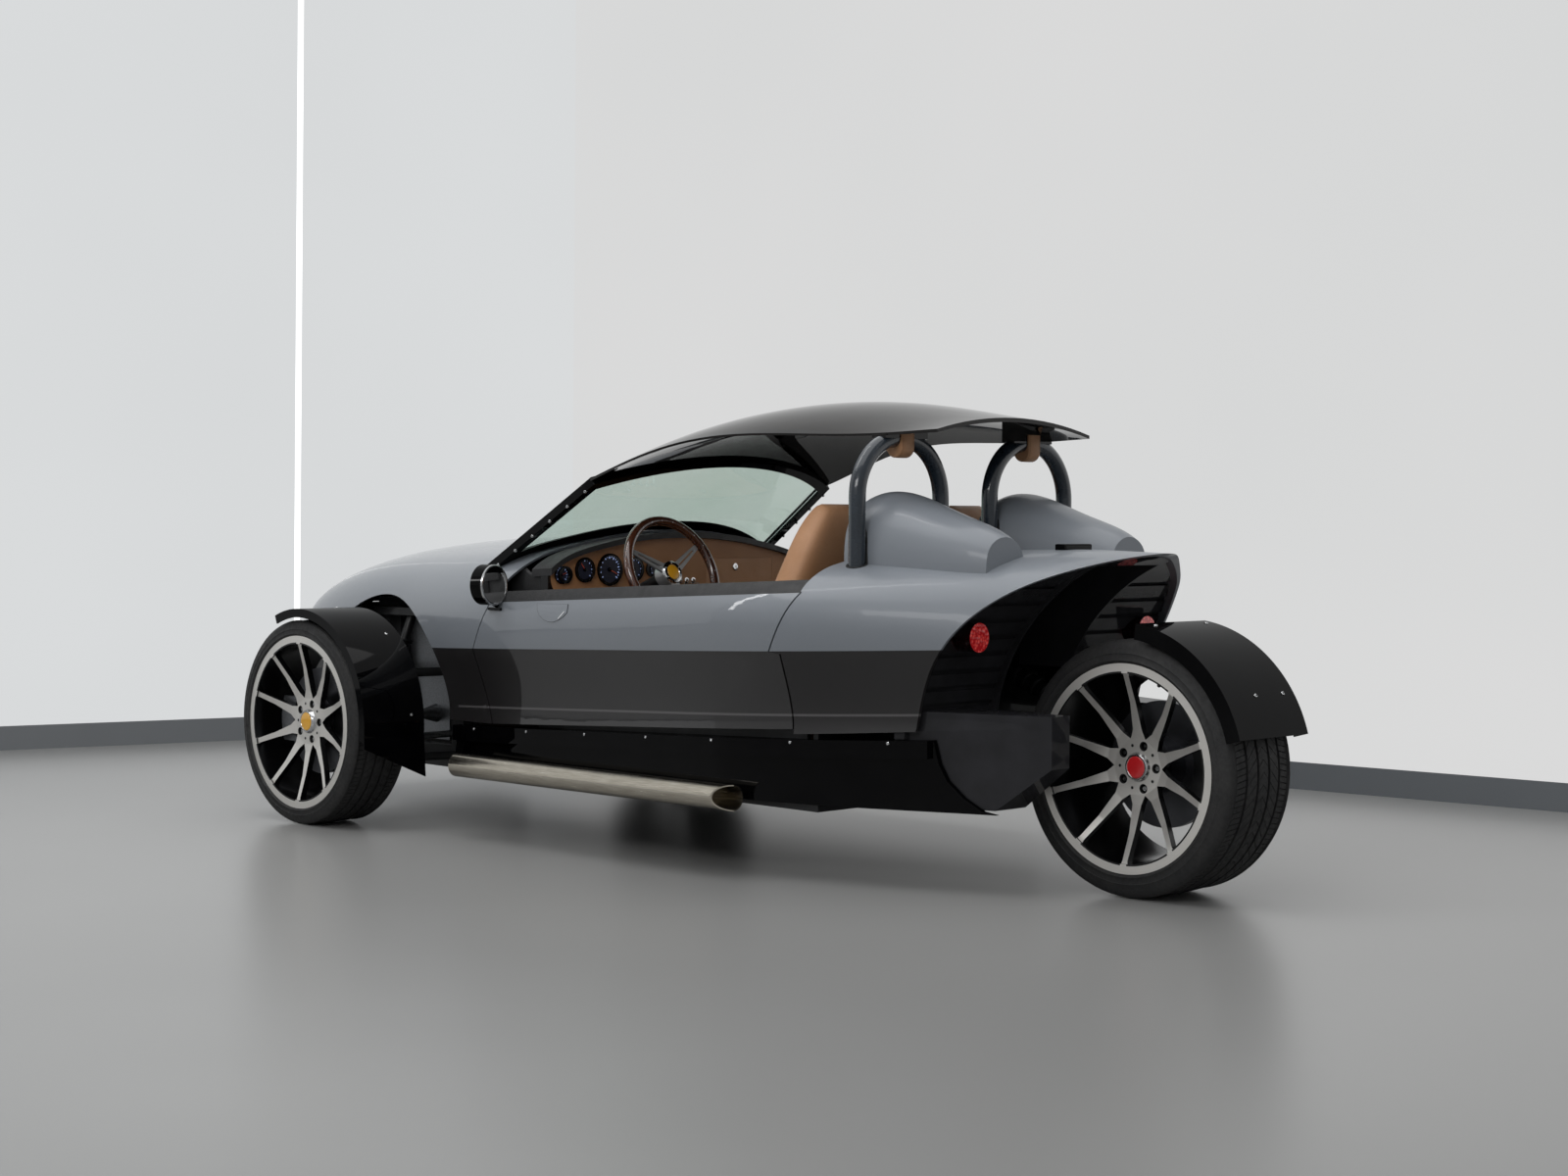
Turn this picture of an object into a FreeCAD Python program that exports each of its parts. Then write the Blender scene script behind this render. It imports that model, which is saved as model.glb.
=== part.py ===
import FreeCAD, Part
import Sketcher
import math
import os
from FreeCAD import Placement, Rotation, Vector

# A three wheeled open car: two steered wheels in front, one wheel behind on a single sided arm.
# Millimetres. The car faces -Y, its left side is +X, up is +Z.
# The origin is on the ground, midway along and across the car.

doc = FreeCAD.newDocument("ThreeWheeledCar")

# Driving dimensions
sizes = {
    # overall
    "wheelbase": 2642, "nose_reach": 680, "splitter_reach": 700, "form_length": 3400,
    "body_half_width": 625, "body_height": 930, "skin": 9, "running_gap": 0.3, "panel_gap": 5,
    "cut_overrun": 40,
    # wheels
    "front_wheel_plane": 763, "front_tyre_radius": 318.5, "front_tyre_width": 205, "front_rim_width": 195,
    "rear_tyre_radius": 331.5, "rear_tyre_width": 280, "rear_rim_width": 270, "rim_lip_radius": 268.5,
    "rim_seat_radius": 254, "rim_inner_radius": 243, "rim_wall": 9, "tyre_shoulder": 26, "tyre_edge": 9,
    "hub_radius": 76, "hub_length": 40, "front_face_recess": 41, "rear_face_recess": 60,
    "spoke_thickness": 20, "spoke_width": 46, "spoke_end_step": 4, "cap_radius": 33, "cap_height": 9,
    "cap_floor": 12, "lug_pitch": 57, "lug_radius": 11, "lug_depth": 20,
    "spindle_radius": 24.95, "spindle_bore": 25,
    "disc_radius": 165, "disc_thickness": 24, "disc_hat_radius": 74, "front_disc_offset": 11,
    "rear_disc_offset": 55, "stub_radius": 39.95, "stub_length": 28, "bearing_bore": 40,
    # front suspension and steering
    "kingpin_plane": 690, "carrier_radius": 64, "carrier_inner": 20, "carrier_outer": 50, "ball_radius": 23,
    "ball_height": 30, "lower_ball_height": 185, "upper_ball_height": 455, "steering_arm_reach": 130,
    "tie_rod_height": 262, "tie_rod_radius": 11, "tie_rod_end_radius": 18, "tie_rod_end_height": 24,
    "rack_clearance": 0.05, "rack_wall": 10, "arm_thickness": 14, "caliper_side": 22, "caliper_over": 18,
    "caliper_depth": 50, "caliper_length": 140, "fender_clearance": 30, "fender_shift": 22,
    "fender_thickness": 5,
    "fender_side_gap": 8, "fender_lip": 22, "flap_reach": 385, "flap_foot": 165, "flap_outer_foot": 262,
    "stay_width": 24, "wishbone_tube_radius": 14,
    "wishbone_spread": 170, "wishbone_lift": 12, "frame_plate_outer": 370, "frame_plate_inner": 330,
    "frame_reach": 460, "frame_top": 640, "frame_beam": 24, "frame_shelf": 66, "frame_post_width": 60,
    "rail_bottom": 155, "rail_height": 70, "eye_drop": 40, "eye_thickness": 12, "eye_bore": 12,
    "shaft_radius": 13, "joint_boot_radius": 30, "joint_boot_length": 60, "coil_radius": 30, "coil_wire": 6,
    "damper_radius": 16, "coil_foot_side": 545, "coil_foot_lead": 76, "coil_foot_rise": 22,
    "coil_head_lead": 36,
    # engine
    "engine_front": 320, "engine_rear": 75, "engine_bottom": 235, "engine_top": 690,
    # panels and openings of the body
    "arch_radius": 392, "cockpit_front": 800, "cockpit_rear": 1925,
    "cowl_side": 700, "cowl_side_height": 790, "door_thickness": 52, "door_front_top": 648,
    "door_front_waist": 556, "door_front_foot": 630, "door_rear_foot": 1900, "door_rear_jog": 1880,
    "door_rear_waist": 1845, "door_rear_top": 1930, "belt_front": 705, "belt_rear": 768, "waist_front": 560,
    "waist_rear": 606, "sill_front": 340, "sill_rear": 408, "belt_half_front": 600,
    "trim_inset": 4, "trim_lift": 0.3, "trim_height": 34, "trim_step": 3,
    # tub
    "floor_height": 192, "floor_thickness": 24, "sill_outer": 552, "sill_inner": 500, "sill_height": 128,
    "firewall_place": 515, "bulkhead_place": 1945, "bulkhead_thickness": 18, "bulkhead_top": 800,
    "rear_frame_half": 290, "rear_frame_bar": 40, "rear_rail_bottom": 270, "hoop_slot": 24.2,
    "hoop_beam": 50,
    # rockers and pipes
    "rocker_bulge": 12, "rocker_step": 24, "rocker_band": 46, "rocker_wall": 14, "rocker_front": 425,
    "rocker_rear": 2270, "rocker_heel": 2430, "rocker_top_front": 322, "rocker_top_rear": 396,
    "rocker_bottom": 205, "rocker_heel_height": 213, "pipe_side": 650, "pipe_radius": 35, "pipe_wall": 3,
    "pipe_front": 540, "pipe_length": 1206, "pipe_height": 213, "pipe_rise": 5, "pipe_mouth": 120,
    # cabin
    "dash_place": 835, "dash_thickness": 34, "dash_bottom": 590, "brow_thickness": 18, "brow_reach": 18,
    "brow_foot": 730,
    "dash_half_width": 545,
    "gauge_height": 804, "gauge_bezel": 8, "small_gauge": 26, "middle_gauge": 37,
    "large_gauge": 48, "gauge_middle": 308, "gauge_gap": 13, "gauge_drop": 14,
    "lid_width": 290, "lid_height": 100, "lid_thickness": 14, "lid_side": 240, "lid_pocket": 120,
    "lid_bottom": 735, "lid_frame": 10, "lid_seat_gap": 0.9, "wheel_rim_radius": 165, "wheel_rim_tube": 14,
    "wheel_hub_radius": 36,
    "wheel_hub_length": 40, "wheel_spoke_width": 36, "wheel_spoke_thickness": 6, "steering_wheel_side": 280,
    "steering_wheel_height": 800, "steering_wheel_place": 1090, "column_rake": 22, "column_radius": 19,
    "column_shaft_radius": 11, "column_length": 420, "column_socket": 90, "column_plate": 40,
    "column_plate_top": 740, "seat_side": 268, "seat_width": 440, "seat_cushion_height": 150,
    "seat_back_height": 785, "seat_place": 1230, "seat_depth": 500, "seat_back_thickness": 120,
    "seat_lean": 92, "seat_round": 24, "seat_bolster": 62, "seat_dish": 26, "seat_crown": 62,
    "mirror_radius": 60, "mirror_depth": 40, "mirror_stem": 8, "mirror_side": 668, "mirror_place": 682,
    "mirror_height": 760, "mirror_foot": 32, "mirror_foot_drop": 14,
    # windscreen, roof and roll hoops
    "screen_foot_place": 570, "screen_foot_height": 795, "screen_top_place": 985, "screen_top_height": 1058,
    "screen_crown_rise": 135, "screen_foot_half": 560, "screen_top_half": 497, "screen_frame": 26,
    "screen_depth": 26, "screen_sink": 60, "glass": 6,
    "roof_front": 960, "roof_thickness": 12, "roof_length": 1210, "roof_half_width": 505,
    "roof_height": 1306,
    "hoop_tube": 23, "hoop_place": 1989, "hoop_outer": 437, "hoop_inner": 104, "hoop_top": 1180,
    "hoop_foot": 640, "hoop_corner": 160,
    "fairing_side": 265, "fairing_peak": 1036, "fairing_front": 1915, "fairing_length": 440,
    "fairing_half_width": 150, "fairing_foot": 800,
    # nose
    "head_lamp_side": 330, "head_lamp_height": 560, "head_lamp_radius": 84, "head_lamp_depth": 110,
    "head_lamp_set_back": 20, "head_lamp_bezel": 9, "head_lamp_bowl": 64, "grille_half_width": 190,
    "grille_bottom": 420, "grille_middle": 520,
    "grille_top": 690, "grille_depth": 8, "grille_flange": 20, "grille_bar": 9, "grille_pitch": 30,
    "bumper_top": 335, "bumper_bottom": 150, "bumper_half_width": 430, "bumper_wall": 12,
    "bumper_reach": 670, "bumper_corner": 90, "intake_half_width": 300, "intake_margin": 45,
    # tail
    "tail_low_reach": 410, "tail_mid_reach": 340, "tail_mid_height": 620, "tail_lamp_reach": 293,
    "tail_lamp_height": 684, "tail_high_reach": 186, "tail_high_height": 782, "tail_tip_reach": 40,
    "tail_tip_height": 880, "tunnel_half_width": 130, "tunnel_wall": 8, "tunnel_front": 2080,
    "tunnel_top": 846,
    "fascia_thickness": 26, "fascia_inset": 34, "fascia_foot": 222, "pod_inner": 250, "pod_reach": 2558,
    "pod_top": 467,
    "pod_heel": 334, "pod_toe": 2416, "groove_pitch": 45, "groove_width": 12, "groove_depth": 10,
    "groove_low": 470, "tail_lamp_side": 358, "tail_lamp_centre": 660, "tail_lamp_radius": 38,
    "tail_lamp_depth": 60,
    "swing_pivot": 2120, "swing_beam_side": 198, "swing_beam_width": 62, "swing_beam_height": 120,
    "swing_tube_radius": 30, "rear_hub_radius": 60, "shock_reach": 330, "shock_foot_height": 385,
    "shock_head_height": 560, "rear_fender_clearance": 38, "rear_fender_half_width": 150,
    "rear_fender_lip": 36,
}

sheet = doc.addObject("Spreadsheet::Sheet", "Dims")
for row, (alias, value) in enumerate(sizes.items(), start=1):
    sheet.set("A%d" % row, alias)
    sheet.set("B%d" % row, str(value))
    sheet.setAlias("B%d" % row, alias)
doc.recompute()


class Size:
    """A length that carries its value and the sheet expression that drives it."""

    def __init__(self, value, text):
        self.value = float(value)
        self.text = text

    def _with(self, other, sign, value, swapped=False):
        left, right = self.text, other.text if isinstance(other, Size) else repr(other)
        if swapped:
            left, right = right, left
        return Size(value, "(%s %s %s)" % (left, sign, right))

    def __add__(self, other):
        return self._with(other, "+", self.value + float(other))

    def __radd__(self, other):
        return self._with(other, "+", float(other) + self.value, True)

    def __sub__(self, other):
        return self._with(other, "-", self.value - float(other))

    def __rsub__(self, other):
        return self._with(other, "-", float(other) - self.value, True)

    def __mul__(self, other):
        return self._with(other, "*", self.value * float(other))

    __rmul__ = __mul__

    def __truediv__(self, other):
        return self._with(other, "/", self.value / float(other))

    def __neg__(self):
        return Size(-self.value, "(0 - %s)" % self.text)

    def __float__(self):
        return self.value


class Dimensions:
    """Reads a named cell of the sheet as a Size."""

    def __getattr__(self, alias):
        return Size(sheet.get(alias), "Dims." + alias)


d = Dimensions()


def mm(size):
    return float(size)


# Places along the car that the other pieces follow; the rear fender's edge is the rearmost of all
rear_fender_start, rear_fender_sweep = -75, 68
tail_reach = (d.rear_tyre_radius + d.rear_fender_clearance + d.fender_thickness) * math.sin(
    math.radians(-rear_fender_start))
front_axle = -(d.wheelbase + tail_reach - d.splitter_reach) / 2
rear_axle = front_axle + d.wheelbase


def along(offset):
    """A place along the car, counted rearwards from the front axle."""
    return front_axle + offset


# Helpers for document objects
made = {}


def keep(node, obj):
    """Names a finished sub-part."""
    obj.Label = node
    made[node] = obj
    return obj


def shape_part(node, shape):
    """A sub-part whose shape comes from Part's own functions."""
    obj = doc.addObject("Part::Feature", node)
    obj.Shape = shape
    return keep(node, obj)


def bind(obj, **values):
    """Ties an object's sizes to the sheet."""
    for name, size in values.items():
        obj.setExpression(name, size.text)


def place(obj, x, y, z):
    """Binds an object's position to the sheet."""
    for axis, size in (("x", x), ("y", y), ("z", z)):
        if isinstance(size, Size):
            obj.setExpression("Placement.Base." + axis, size.text)


def plane_of(body, role):
    return [item for item in body.Origin.OriginFeatures if item.Role == role][0]


def outline_sketch(body, name, role, points):
    """A closed sketch whose corners are bound to named sizes."""
    sketch = body.newObject("Sketcher::SketchObject", name)
    sketch.AttachmentSupport = [(plane_of(body, role), "")]
    sketch.MapMode = "FlatFace"
    count = len(points)
    for index in range(count):
        start, end = points[index], points[(index + 1) % count]
        sketch.addGeometry(Part.LineSegment(Vector(mm(start[0]), mm(start[1]), 0),
                                            Vector(mm(end[0]), mm(end[1]), 0)))
    for index in range(count):
        sketch.addConstraint(Sketcher.Constraint("Coincident", index, 2, (index + 1) % count, 1))
    for index, point in enumerate(points):
        for kind, size in zip(("DistanceX", "DistanceY"), point):
            number = sketch.addConstraint(Sketcher.Constraint(kind, -1, 1, index, 1, mm(size)))
            if isinstance(size, Size):
                sketch.setExpression("Constraints[%d]" % number, size.text)
    return sketch


def turned(body, name, points):
    """A revolved piece: points are (place along the axle, radius), spun about the body's own X axis."""
    sketch = outline_sketch(body, name + "_outline", "XY_Plane", points)
    spin = body.newObject("PartDesign::Revolution", name)
    spin.Profile = sketch
    spin.ReferenceAxis = (plane_of(body, "X_Axis"), [""])
    spin.Angle = 360
    return spin


# Helpers for plain shapes
AXES = {"X": Vector(1, 0, 0), "Y": Vector(0, 1, 0), "Z": Vector(0, 0, 1)}


def box(x, y, z):
    """A block between pairs of places."""
    low = Vector(mm(x[0]), mm(y[0]), mm(z[0]))
    return Part.makeBox(mm(x[1]) - low.x, mm(y[1]) - low.y, mm(z[1]) - low.z, low)


def rod(start, end, radius):
    """A round bar from one point to another."""
    a, b = Vector(*map(mm, start)), Vector(*map(mm, end))
    return Part.makeCylinder(mm(radius), a.distanceToPoint(b), a, b - a)


def pipe(start, end, radius, wall):
    return rod(start, end, radius).cut(rod(start, end, radius - wall))


def fuse(shapes):
    shapes = list(shapes)
    joined = shapes[0].multiFuse(shapes[1:]) if len(shapes) > 1 else shapes[0]
    return joined.removeSplitter()


def solids(shape):
    """Drops everything but the solids."""
    found = shape.Solids
    return found[0] if len(found) == 1 else Part.makeCompound(found)


def mirrored(shape):
    """The same piece on the car's other side."""
    return shape.mirror(Vector(), AXES["X"])


def both_sides(shape):
    return Part.makeCompound([shape, mirrored(shape)])


def side_prism(points, x_low, x_high):
    """A side view outline, given as (place along, height), pushed across the car."""
    wire = Part.makePolygon([Vector(mm(x_low), mm(y), mm(z)) for y, z in points + points[:1]])
    return Part.Face(wire).extrude(Vector(mm(x_high) - mm(x_low), 0, 0))


def front_prism(points, y_low, y_high):
    """A front view outline, given as (side, height), pushed along the car."""
    wire = Part.makePolygon([Vector(mm(x), mm(y_low), mm(z)) for x, z in points + points[:1]])
    return Part.Face(wire).extrude(Vector(0, mm(y_high) - mm(y_low), 0))


# Body surface
# Each station: share of the way from the nose to the tail end of the form, then shares of the half
# width and of the body height for the low edge, the shoulder and the crown.
station_shares = (
    (0.000, 0.500, 0.368, 0.500, 0.680),
    (0.009, 0.640, 0.367, 0.520, 0.760),
    (0.026, 0.735, 0.366, 0.580, 0.822),
    (0.068, 0.800, 0.364, 0.645, 0.884),
    (0.141, 0.835, 0.362, 0.705, 0.930),
    (0.215, 0.860, 0.360, 0.735, 0.955),
    (0.288, 0.915, 0.361, 0.752, 0.970),
    (0.394, 0.978, 0.366, 0.772, 0.988),
    (0.568, 1.000, 0.393, 0.795, 1.000),
    (0.759, 0.960, 0.425, 0.815, 0.950),
    (0.847, 0.800, 0.446, 0.795, 0.948),
    (0.921, 0.640, 0.462, 0.753, 0.952),
    (1.000, 0.440, 0.475, 0.690, 0.945),
)
low_corner_share = 0.97
arch_turns = (0, 28, 52, 72)


def body_section(station, grow, skirt):
    """One cross section of the body, moved outwards by grow."""
    length_share, half_share, low_share, shoulder_share, crown_share = station
    y = mm(along(d.form_length * length_share - d.nose_reach))
    if length_share == 0:
        y -= grow
    half = mm(d.body_half_width * half_share) + grow
    low = mm(d.body_height * low_share)
    shoulder = mm(d.body_height * shoulder_share)
    crown = mm(d.body_height * crown_share) + grow
    points = [(half * low_corner_share, low), (half, (low + shoulder) / 2)]
    for degrees in arch_turns:
        turn = math.radians(degrees)
        points.append((half * math.cos(turn), shoulder + (crown - shoulder) * math.sin(turn)))
    curve = [Vector(-x, y, z) for x, z in points] + [Vector(0, y, crown)]
    curve += [Vector(x, y, z) for x, z in reversed(points)]
    spline = Part.BSplineCurve()
    spline.interpolate(curve)
    low_right, low_left = curve[-1] - Vector(0, 0, skirt), curve[0] - Vector(0, 0, skirt)
    edges = [spline.toShape(), Part.makeLine(low_right, low_left)]
    if skirt:
        edges[1:1] = [Part.makeLine(curve[-1], low_right)]
        edges.append(Part.makeLine(low_left, curve[0]))
    return Part.Wire(edges)


def body_form(grow=0.0, skirt=0.0):
    """The whole outer form as one solid, grown or shrunk, its sides run on down by a skirt."""
    return Part.makeLoft([body_section(station, grow, skirt) for station in station_shares], True, False)


gap = mm(d.running_gap)
outer_form = body_form()
overrun = mm(d.cut_overrun)
inner_form = body_form(-mm(d.skin), overrun)
seat_form = body_form(-mm(d.skin) - gap, overrun)
outside_form = body_form(gap)

far_out = d.body_half_width + d.cut_overrun
far_up = d.body_height + d.fairing_length
far_front = along(-d.splitter_reach - d.cut_overrun)
far_back = along(d.wheelbase + tail_reach + d.cut_overrun)


def door_front_line(clear):
    """Door's front seam from belt to sill, moved rearwards by a clearance."""
    return [(along(d.door_front_top + clear), d.belt_front),
            (along(d.door_front_waist + clear), d.waist_front),
            (along(d.door_front_foot + clear), d.sill_front)]


def door_rear_line(clear):
    """Door's rear seam from sill to belt, moved forwards by a clearance."""
    return [(along(d.door_rear_foot - clear), d.sill_rear), (along(d.door_rear_jog - clear), d.waist_rear),
            (along(d.door_rear_waist - clear), d.waist_rear + d.panel_gap),
            (along(d.door_rear_top - clear), d.belt_rear)]


front_region = side_prism([(far_front, d.floor_height)] + [(door_front_line(0)[2][0], d.floor_height)]
                          + door_front_line(0)[::-1]
                          + [(along(d.cowl_side), d.cowl_side_height),
                             (along(d.cockpit_front), d.body_height),
                             (along(d.cockpit_front), far_up), (far_front, far_up)], -far_out, far_out)
rear_region = side_prism([(door_rear_line(0)[0][0], d.floor_height)] + door_rear_line(0)
                         + [(along(d.cockpit_rear), d.belt_rear + d.panel_gap),
                            (along(d.cockpit_rear), far_up),
                            (far_back, far_up), (far_back, d.floor_height)], -far_out, far_out)

# Everything behind this side view curve is cut off the body
tail_curve = Part.BSplineCurve()
tail_curve.interpolate([Vector(0, mm(along(d.wheelbase - back)), mm(height)) for back, height in (
    (d.tail_low_reach, d.sill_rear - d.cut_overrun), (d.tail_mid_reach, d.tail_mid_height),
    (d.tail_lamp_reach, d.tail_lamp_height), (d.tail_high_reach, d.tail_high_height),
    (-d.tail_tip_reach, d.tail_tip_height))])


def behind_tail(shift):
    """The space behind the tail curve, the curve moved forwards by shift."""
    start = tail_curve.value(tail_curve.FirstParameter)
    end = tail_curve.value(tail_curve.LastParameter)
    back = mm(far_back) + shift
    under = Vector(0, start.y, 0)
    edges = [Part.makeLine(under, start), tail_curve.toShape(),
             Part.makeLine(end, Vector(0, end.y, mm(far_up))),
             Part.makeLine(Vector(0, end.y, mm(far_up)), Vector(0, back, mm(far_up))),
             Part.makeLine(Vector(0, back, mm(far_up)), Vector(0, back, 0)),
             Part.makeLine(Vector(0, back, 0), under)]
    face = Part.Face(Part.Wire(edges))
    solid = face.extrude(Vector(2 * mm(far_out), 0, 0))
    return solid.translated(Vector(-mm(far_out), -shift, 0))


# Fairing stations: share of its length, of its half width and of its height
hump_shares = ((0.00, 0.94, 0.93), (0.10, 1.00, 1.00), (0.45, 0.92, 0.87), (0.80, 0.70, 0.66),
               (1.00, 0.50, 0.50))
hump_shoulder_share = 0.45


def hump_form():
    """One headrest fairing, from its upright front face back to the deck."""
    wires = []
    for length_share, width_share, height_share in hump_shares:
        y = mm(along(d.fairing_front + d.fairing_length * length_share))
        half = mm(d.fairing_half_width * width_share)
        foot = mm(d.fairing_foot)
        top = foot + mm((d.fairing_peak - d.fairing_foot) * height_share)
        side = mm(d.fairing_side)
        shoulder = foot + (top - foot) * hump_shoulder_share
        points = [Vector(side + half * math.cos(turn), y, shoulder + (top - shoulder) * math.sin(turn))
                  for turn in (math.radians(degrees) for degrees in (0, 30, 60, 90, 120, 150, 180))]
        points = [Vector(side + half, y, foot)] + points + [Vector(side - half, y, foot)]
        spline = Part.BSplineCurve()
        spline.interpolate(points)
        wires.append(Part.Wire([spline.toShape(), Part.makeLine(points[-1], points[0])]))
    return Part.makeLoft(wires, True, False)


# Roll hoops, bent from one tube each


def hoop(radius):
    """One hoop on the left side, its legs reaching down through the deck."""
    y = mm(along(d.hoop_place))
    low, high = mm(d.hoop_foot), mm(d.hoop_top)
    outer, inner, bend = mm(d.hoop_outer), mm(d.hoop_inner), mm(d.hoop_corner)
    corner = bend * (1 - math.cos(math.radians(45)))
    edges = [Part.makeLine(Vector(outer, y, low), Vector(outer, y, high - bend)),
             Part.Arc(Vector(outer, y, high - bend), Vector(outer - corner, y, high - corner),
                      Vector(outer - bend, y, high)).toShape(),
             Part.makeLine(Vector(outer - bend, y, high), Vector(inner + bend, y, high)),
             Part.Arc(Vector(inner + bend, y, high), Vector(inner + corner, y, high - corner),
                      Vector(inner, y, high - bend)).toShape(),
             Part.makeLine(Vector(inner, y, high - bend), Vector(inner, y, low))]
    path = Part.Wire(edges)
    ring = Part.Wire(Part.makeCircle(radius, Vector(outer, y, low), AXES["Z"]))
    return path.makePipeShell([ring], True, False)


hoop_left = hoop(mm(d.hoop_tube))
hoop_clear = hoop(mm(d.hoop_tube) + gap)

# Front body
arch = rod((-far_out, front_axle, d.front_tyre_radius), (far_out, front_axle, d.front_tyre_radius),
           d.arch_radius)
grille_side_shares = (0.70, 1.00, 0.62)


def grille_outline(grow):
    """Corners of the grille's opening, drawn outwards by grow."""
    sides = [d.grille_half_width * share + grow for share in grille_side_shares]
    right = list(zip(sides, (d.grille_bottom - grow, d.grille_middle, d.grille_top + grow)))
    return right + [(-x, z) for x, z in right[::-1]]


grille_hole = front_prism(grille_outline(0), far_front, along(-d.nose_reach / 2))


def lamp_barrel(radius, front, back):
    """A round space for a headlamp on the left side, along the car."""
    return rod((d.head_lamp_side, front, d.head_lamp_height), (d.head_lamp_side, back, d.head_lamp_height),
               radius)


lamp_holes = both_sides(lamp_barrel(d.head_lamp_radius, far_front,
                                    along(-d.nose_reach + d.head_lamp_depth)))
front_skin = outer_form.common(front_region).cut(inner_form).cut(arch).cut(grille_hole).cut(lamp_holes)
shape_part("body_front", solids(front_skin))

# Rear body with its two headrest fairings
humps = both_sides(hump_form())
rear_mass = fuse([outer_form.common(rear_region)] + humps.Solids)
rear_skin = rear_mass.cut(behind_tail(0)).cut(inner_form)
tunnel = box((-d.tunnel_half_width, d.tunnel_half_width), (along(d.tunnel_front), far_back),
             (0, d.tunnel_top))
rear_skin = rear_skin.cut(tunnel)
rear_skin = rear_skin.cut(both_sides(hoop(mm(d.hoop_slot))))
shape_part("body_rear", solids(rear_skin))

# Doors: the whole thickness of the side between skin and cabin
door_inner_form = body_form(-mm(d.door_thickness), overrun)
door_zone = side_prism(door_front_line(d.panel_gap) + door_rear_line(d.panel_gap), 0, far_out)
door_left = solids(outer_form.cut(door_inner_form).common(door_zone))
shape_part("door_left", door_left)
shape_part("door_right", mirrored(door_left))


def door_trim():
    """The padded band along the left door's top edge."""
    front, rear = along(d.door_front_top + d.panel_gap + d.trim_inset), along(d.door_rear_top - d.panel_gap)
    zone = side_prism([(front, d.belt_front + d.trim_lift), (rear, d.belt_rear + d.trim_lift),
                       (rear, d.belt_rear + d.trim_height),
                       (front + d.trim_height, d.belt_front + d.trim_height)],
                      0, far_out)
    return solids(body_form(-mm(d.trim_step)).cut(door_inner_form).common(zone))


shape_part("door_trim_left", door_trim())
shape_part("door_trim_right", mirrored(door_trim()))


def mirror():
    """Round mirror head on a bent arm and a foot that sits on the left door's front top corner."""
    x, y, z = d.mirror_side, along(d.mirror_place), d.mirror_height
    head = rod((x, y, z), (x, y + d.mirror_depth, z), d.mirror_radius)
    head.rotate(Vector(mm(x), mm(y), mm(z)), AXES["Z"], mirror_turn)
    foot_y = along(d.door_front_top + d.panel_gap + d.mirror_foot)
    foot = box((d.belt_half_front - d.door_thickness, far_out),
               (foot_y - d.mirror_foot, foot_y + d.mirror_foot),
               (d.belt_front - d.mirror_foot_drop - d.mirror_stem, d.belt_front - d.mirror_foot_drop))
    foot = foot.common(body_form(mm(d.mirror_stem))).cut(outside_form)
    arm = rod((x, y + d.mirror_depth / 2, z - d.mirror_radius * mirror_arm_share),
              (d.belt_half_front + d.mirror_stem / 2, foot_y, d.belt_front - d.mirror_foot_drop),
              d.mirror_stem)
    return solids(fuse([head, arm.cut(outside_form), foot]))


mirror_arm_share, mirror_turn = 0.7, 13
shape_part("mirror_left", mirror())
shape_part("mirror_right", mirrored(mirror()))


# Tub: floor, sills, bulkheads and the frames at both ends
floor_top = d.floor_height + d.floor_thickness
tub_front = along(d.firewall_place)
tub_back = along(d.bulkhead_place)
rail_z = (d.rail_bottom, d.rail_bottom + d.rail_height)


def bulkhead(place_along, top):
    """An upright wall that fills the body's cross section up to a height."""
    y = (place_along, place_along + d.bulkhead_thickness)
    slab = box((-far_out, far_out), y, (d.sill_rear, top))
    lower = box((-d.sill_outer, d.sill_outer), y, (floor_top + d.running_gap, d.sill_rear))
    return slab.common(seat_form).fuse(lower)


def front_frame_side():
    """Left side of the front frame: rail, two posts that carry the wishbones, and a top beam."""
    x = (d.frame_plate_inner, d.frame_plate_outer)
    posts = [box(x, (front_axle + sign * d.wishbone_spread - d.frame_post_width / 2,
                     front_axle + sign * d.wishbone_spread + d.frame_post_width / 2),
                 (d.rail_bottom, d.frame_top)) for sign in (-1, 1)]
    rail = box(x, (along(-d.frame_reach), tub_front - d.running_gap), rail_z)
    beam = box((d.frame_plate_inner, d.frame_plate_outer + d.frame_shelf),
               (front_axle - d.wishbone_spread - d.frame_post_width / 2,
                front_axle + d.wishbone_spread + d.frame_post_width / 2),
               (d.frame_top, d.frame_top + d.frame_beam))
    eye = box((d.frame_plate_inner, d.frame_plate_inner + d.eye_thickness),
              (along(-d.frame_reach), along(-d.frame_reach) + d.eye_drop * 2),
              (d.rail_bottom - d.eye_drop, d.rail_bottom))
    return fuse([rail, beam, eye] + posts)


eye_place = along(-d.frame_reach) + d.eye_drop
eye_height = d.rail_bottom - d.eye_drop / 2
eye_bore = rod((-far_out, eye_place, eye_height), (far_out, eye_place, eye_height), d.eye_bore)
rack_place = along(d.steering_arm_reach)
rack_bore_radius = d.tie_rod_radius + d.rack_clearance
between_rails = (-d.frame_plate_inner + d.running_gap, d.frame_plate_inner - d.running_gap)
rack_guard = fuse([rod((between_rails[0], rack_place, d.tie_rod_height),
                       (between_rails[1], rack_place, d.tie_rod_height),
                       rack_bore_radius + d.rack_wall),
                   box(between_rails, (rack_place - d.tie_rod_end_radius,
                                       rack_place + d.tie_rod_end_radius),
                       (d.rail_bottom, d.tie_rod_height))])
rack_bore = rod((-far_out, rack_place, d.tie_rod_height), (far_out, rack_place, d.tie_rod_height),
                rack_bore_radius)
front_cross = box(between_rails, (along(-d.frame_reach), along(-d.frame_reach) + d.rail_height), rail_z)
cabin_y = (tub_front + d.bulkhead_thickness + d.running_gap, tub_back - d.running_gap)
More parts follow.
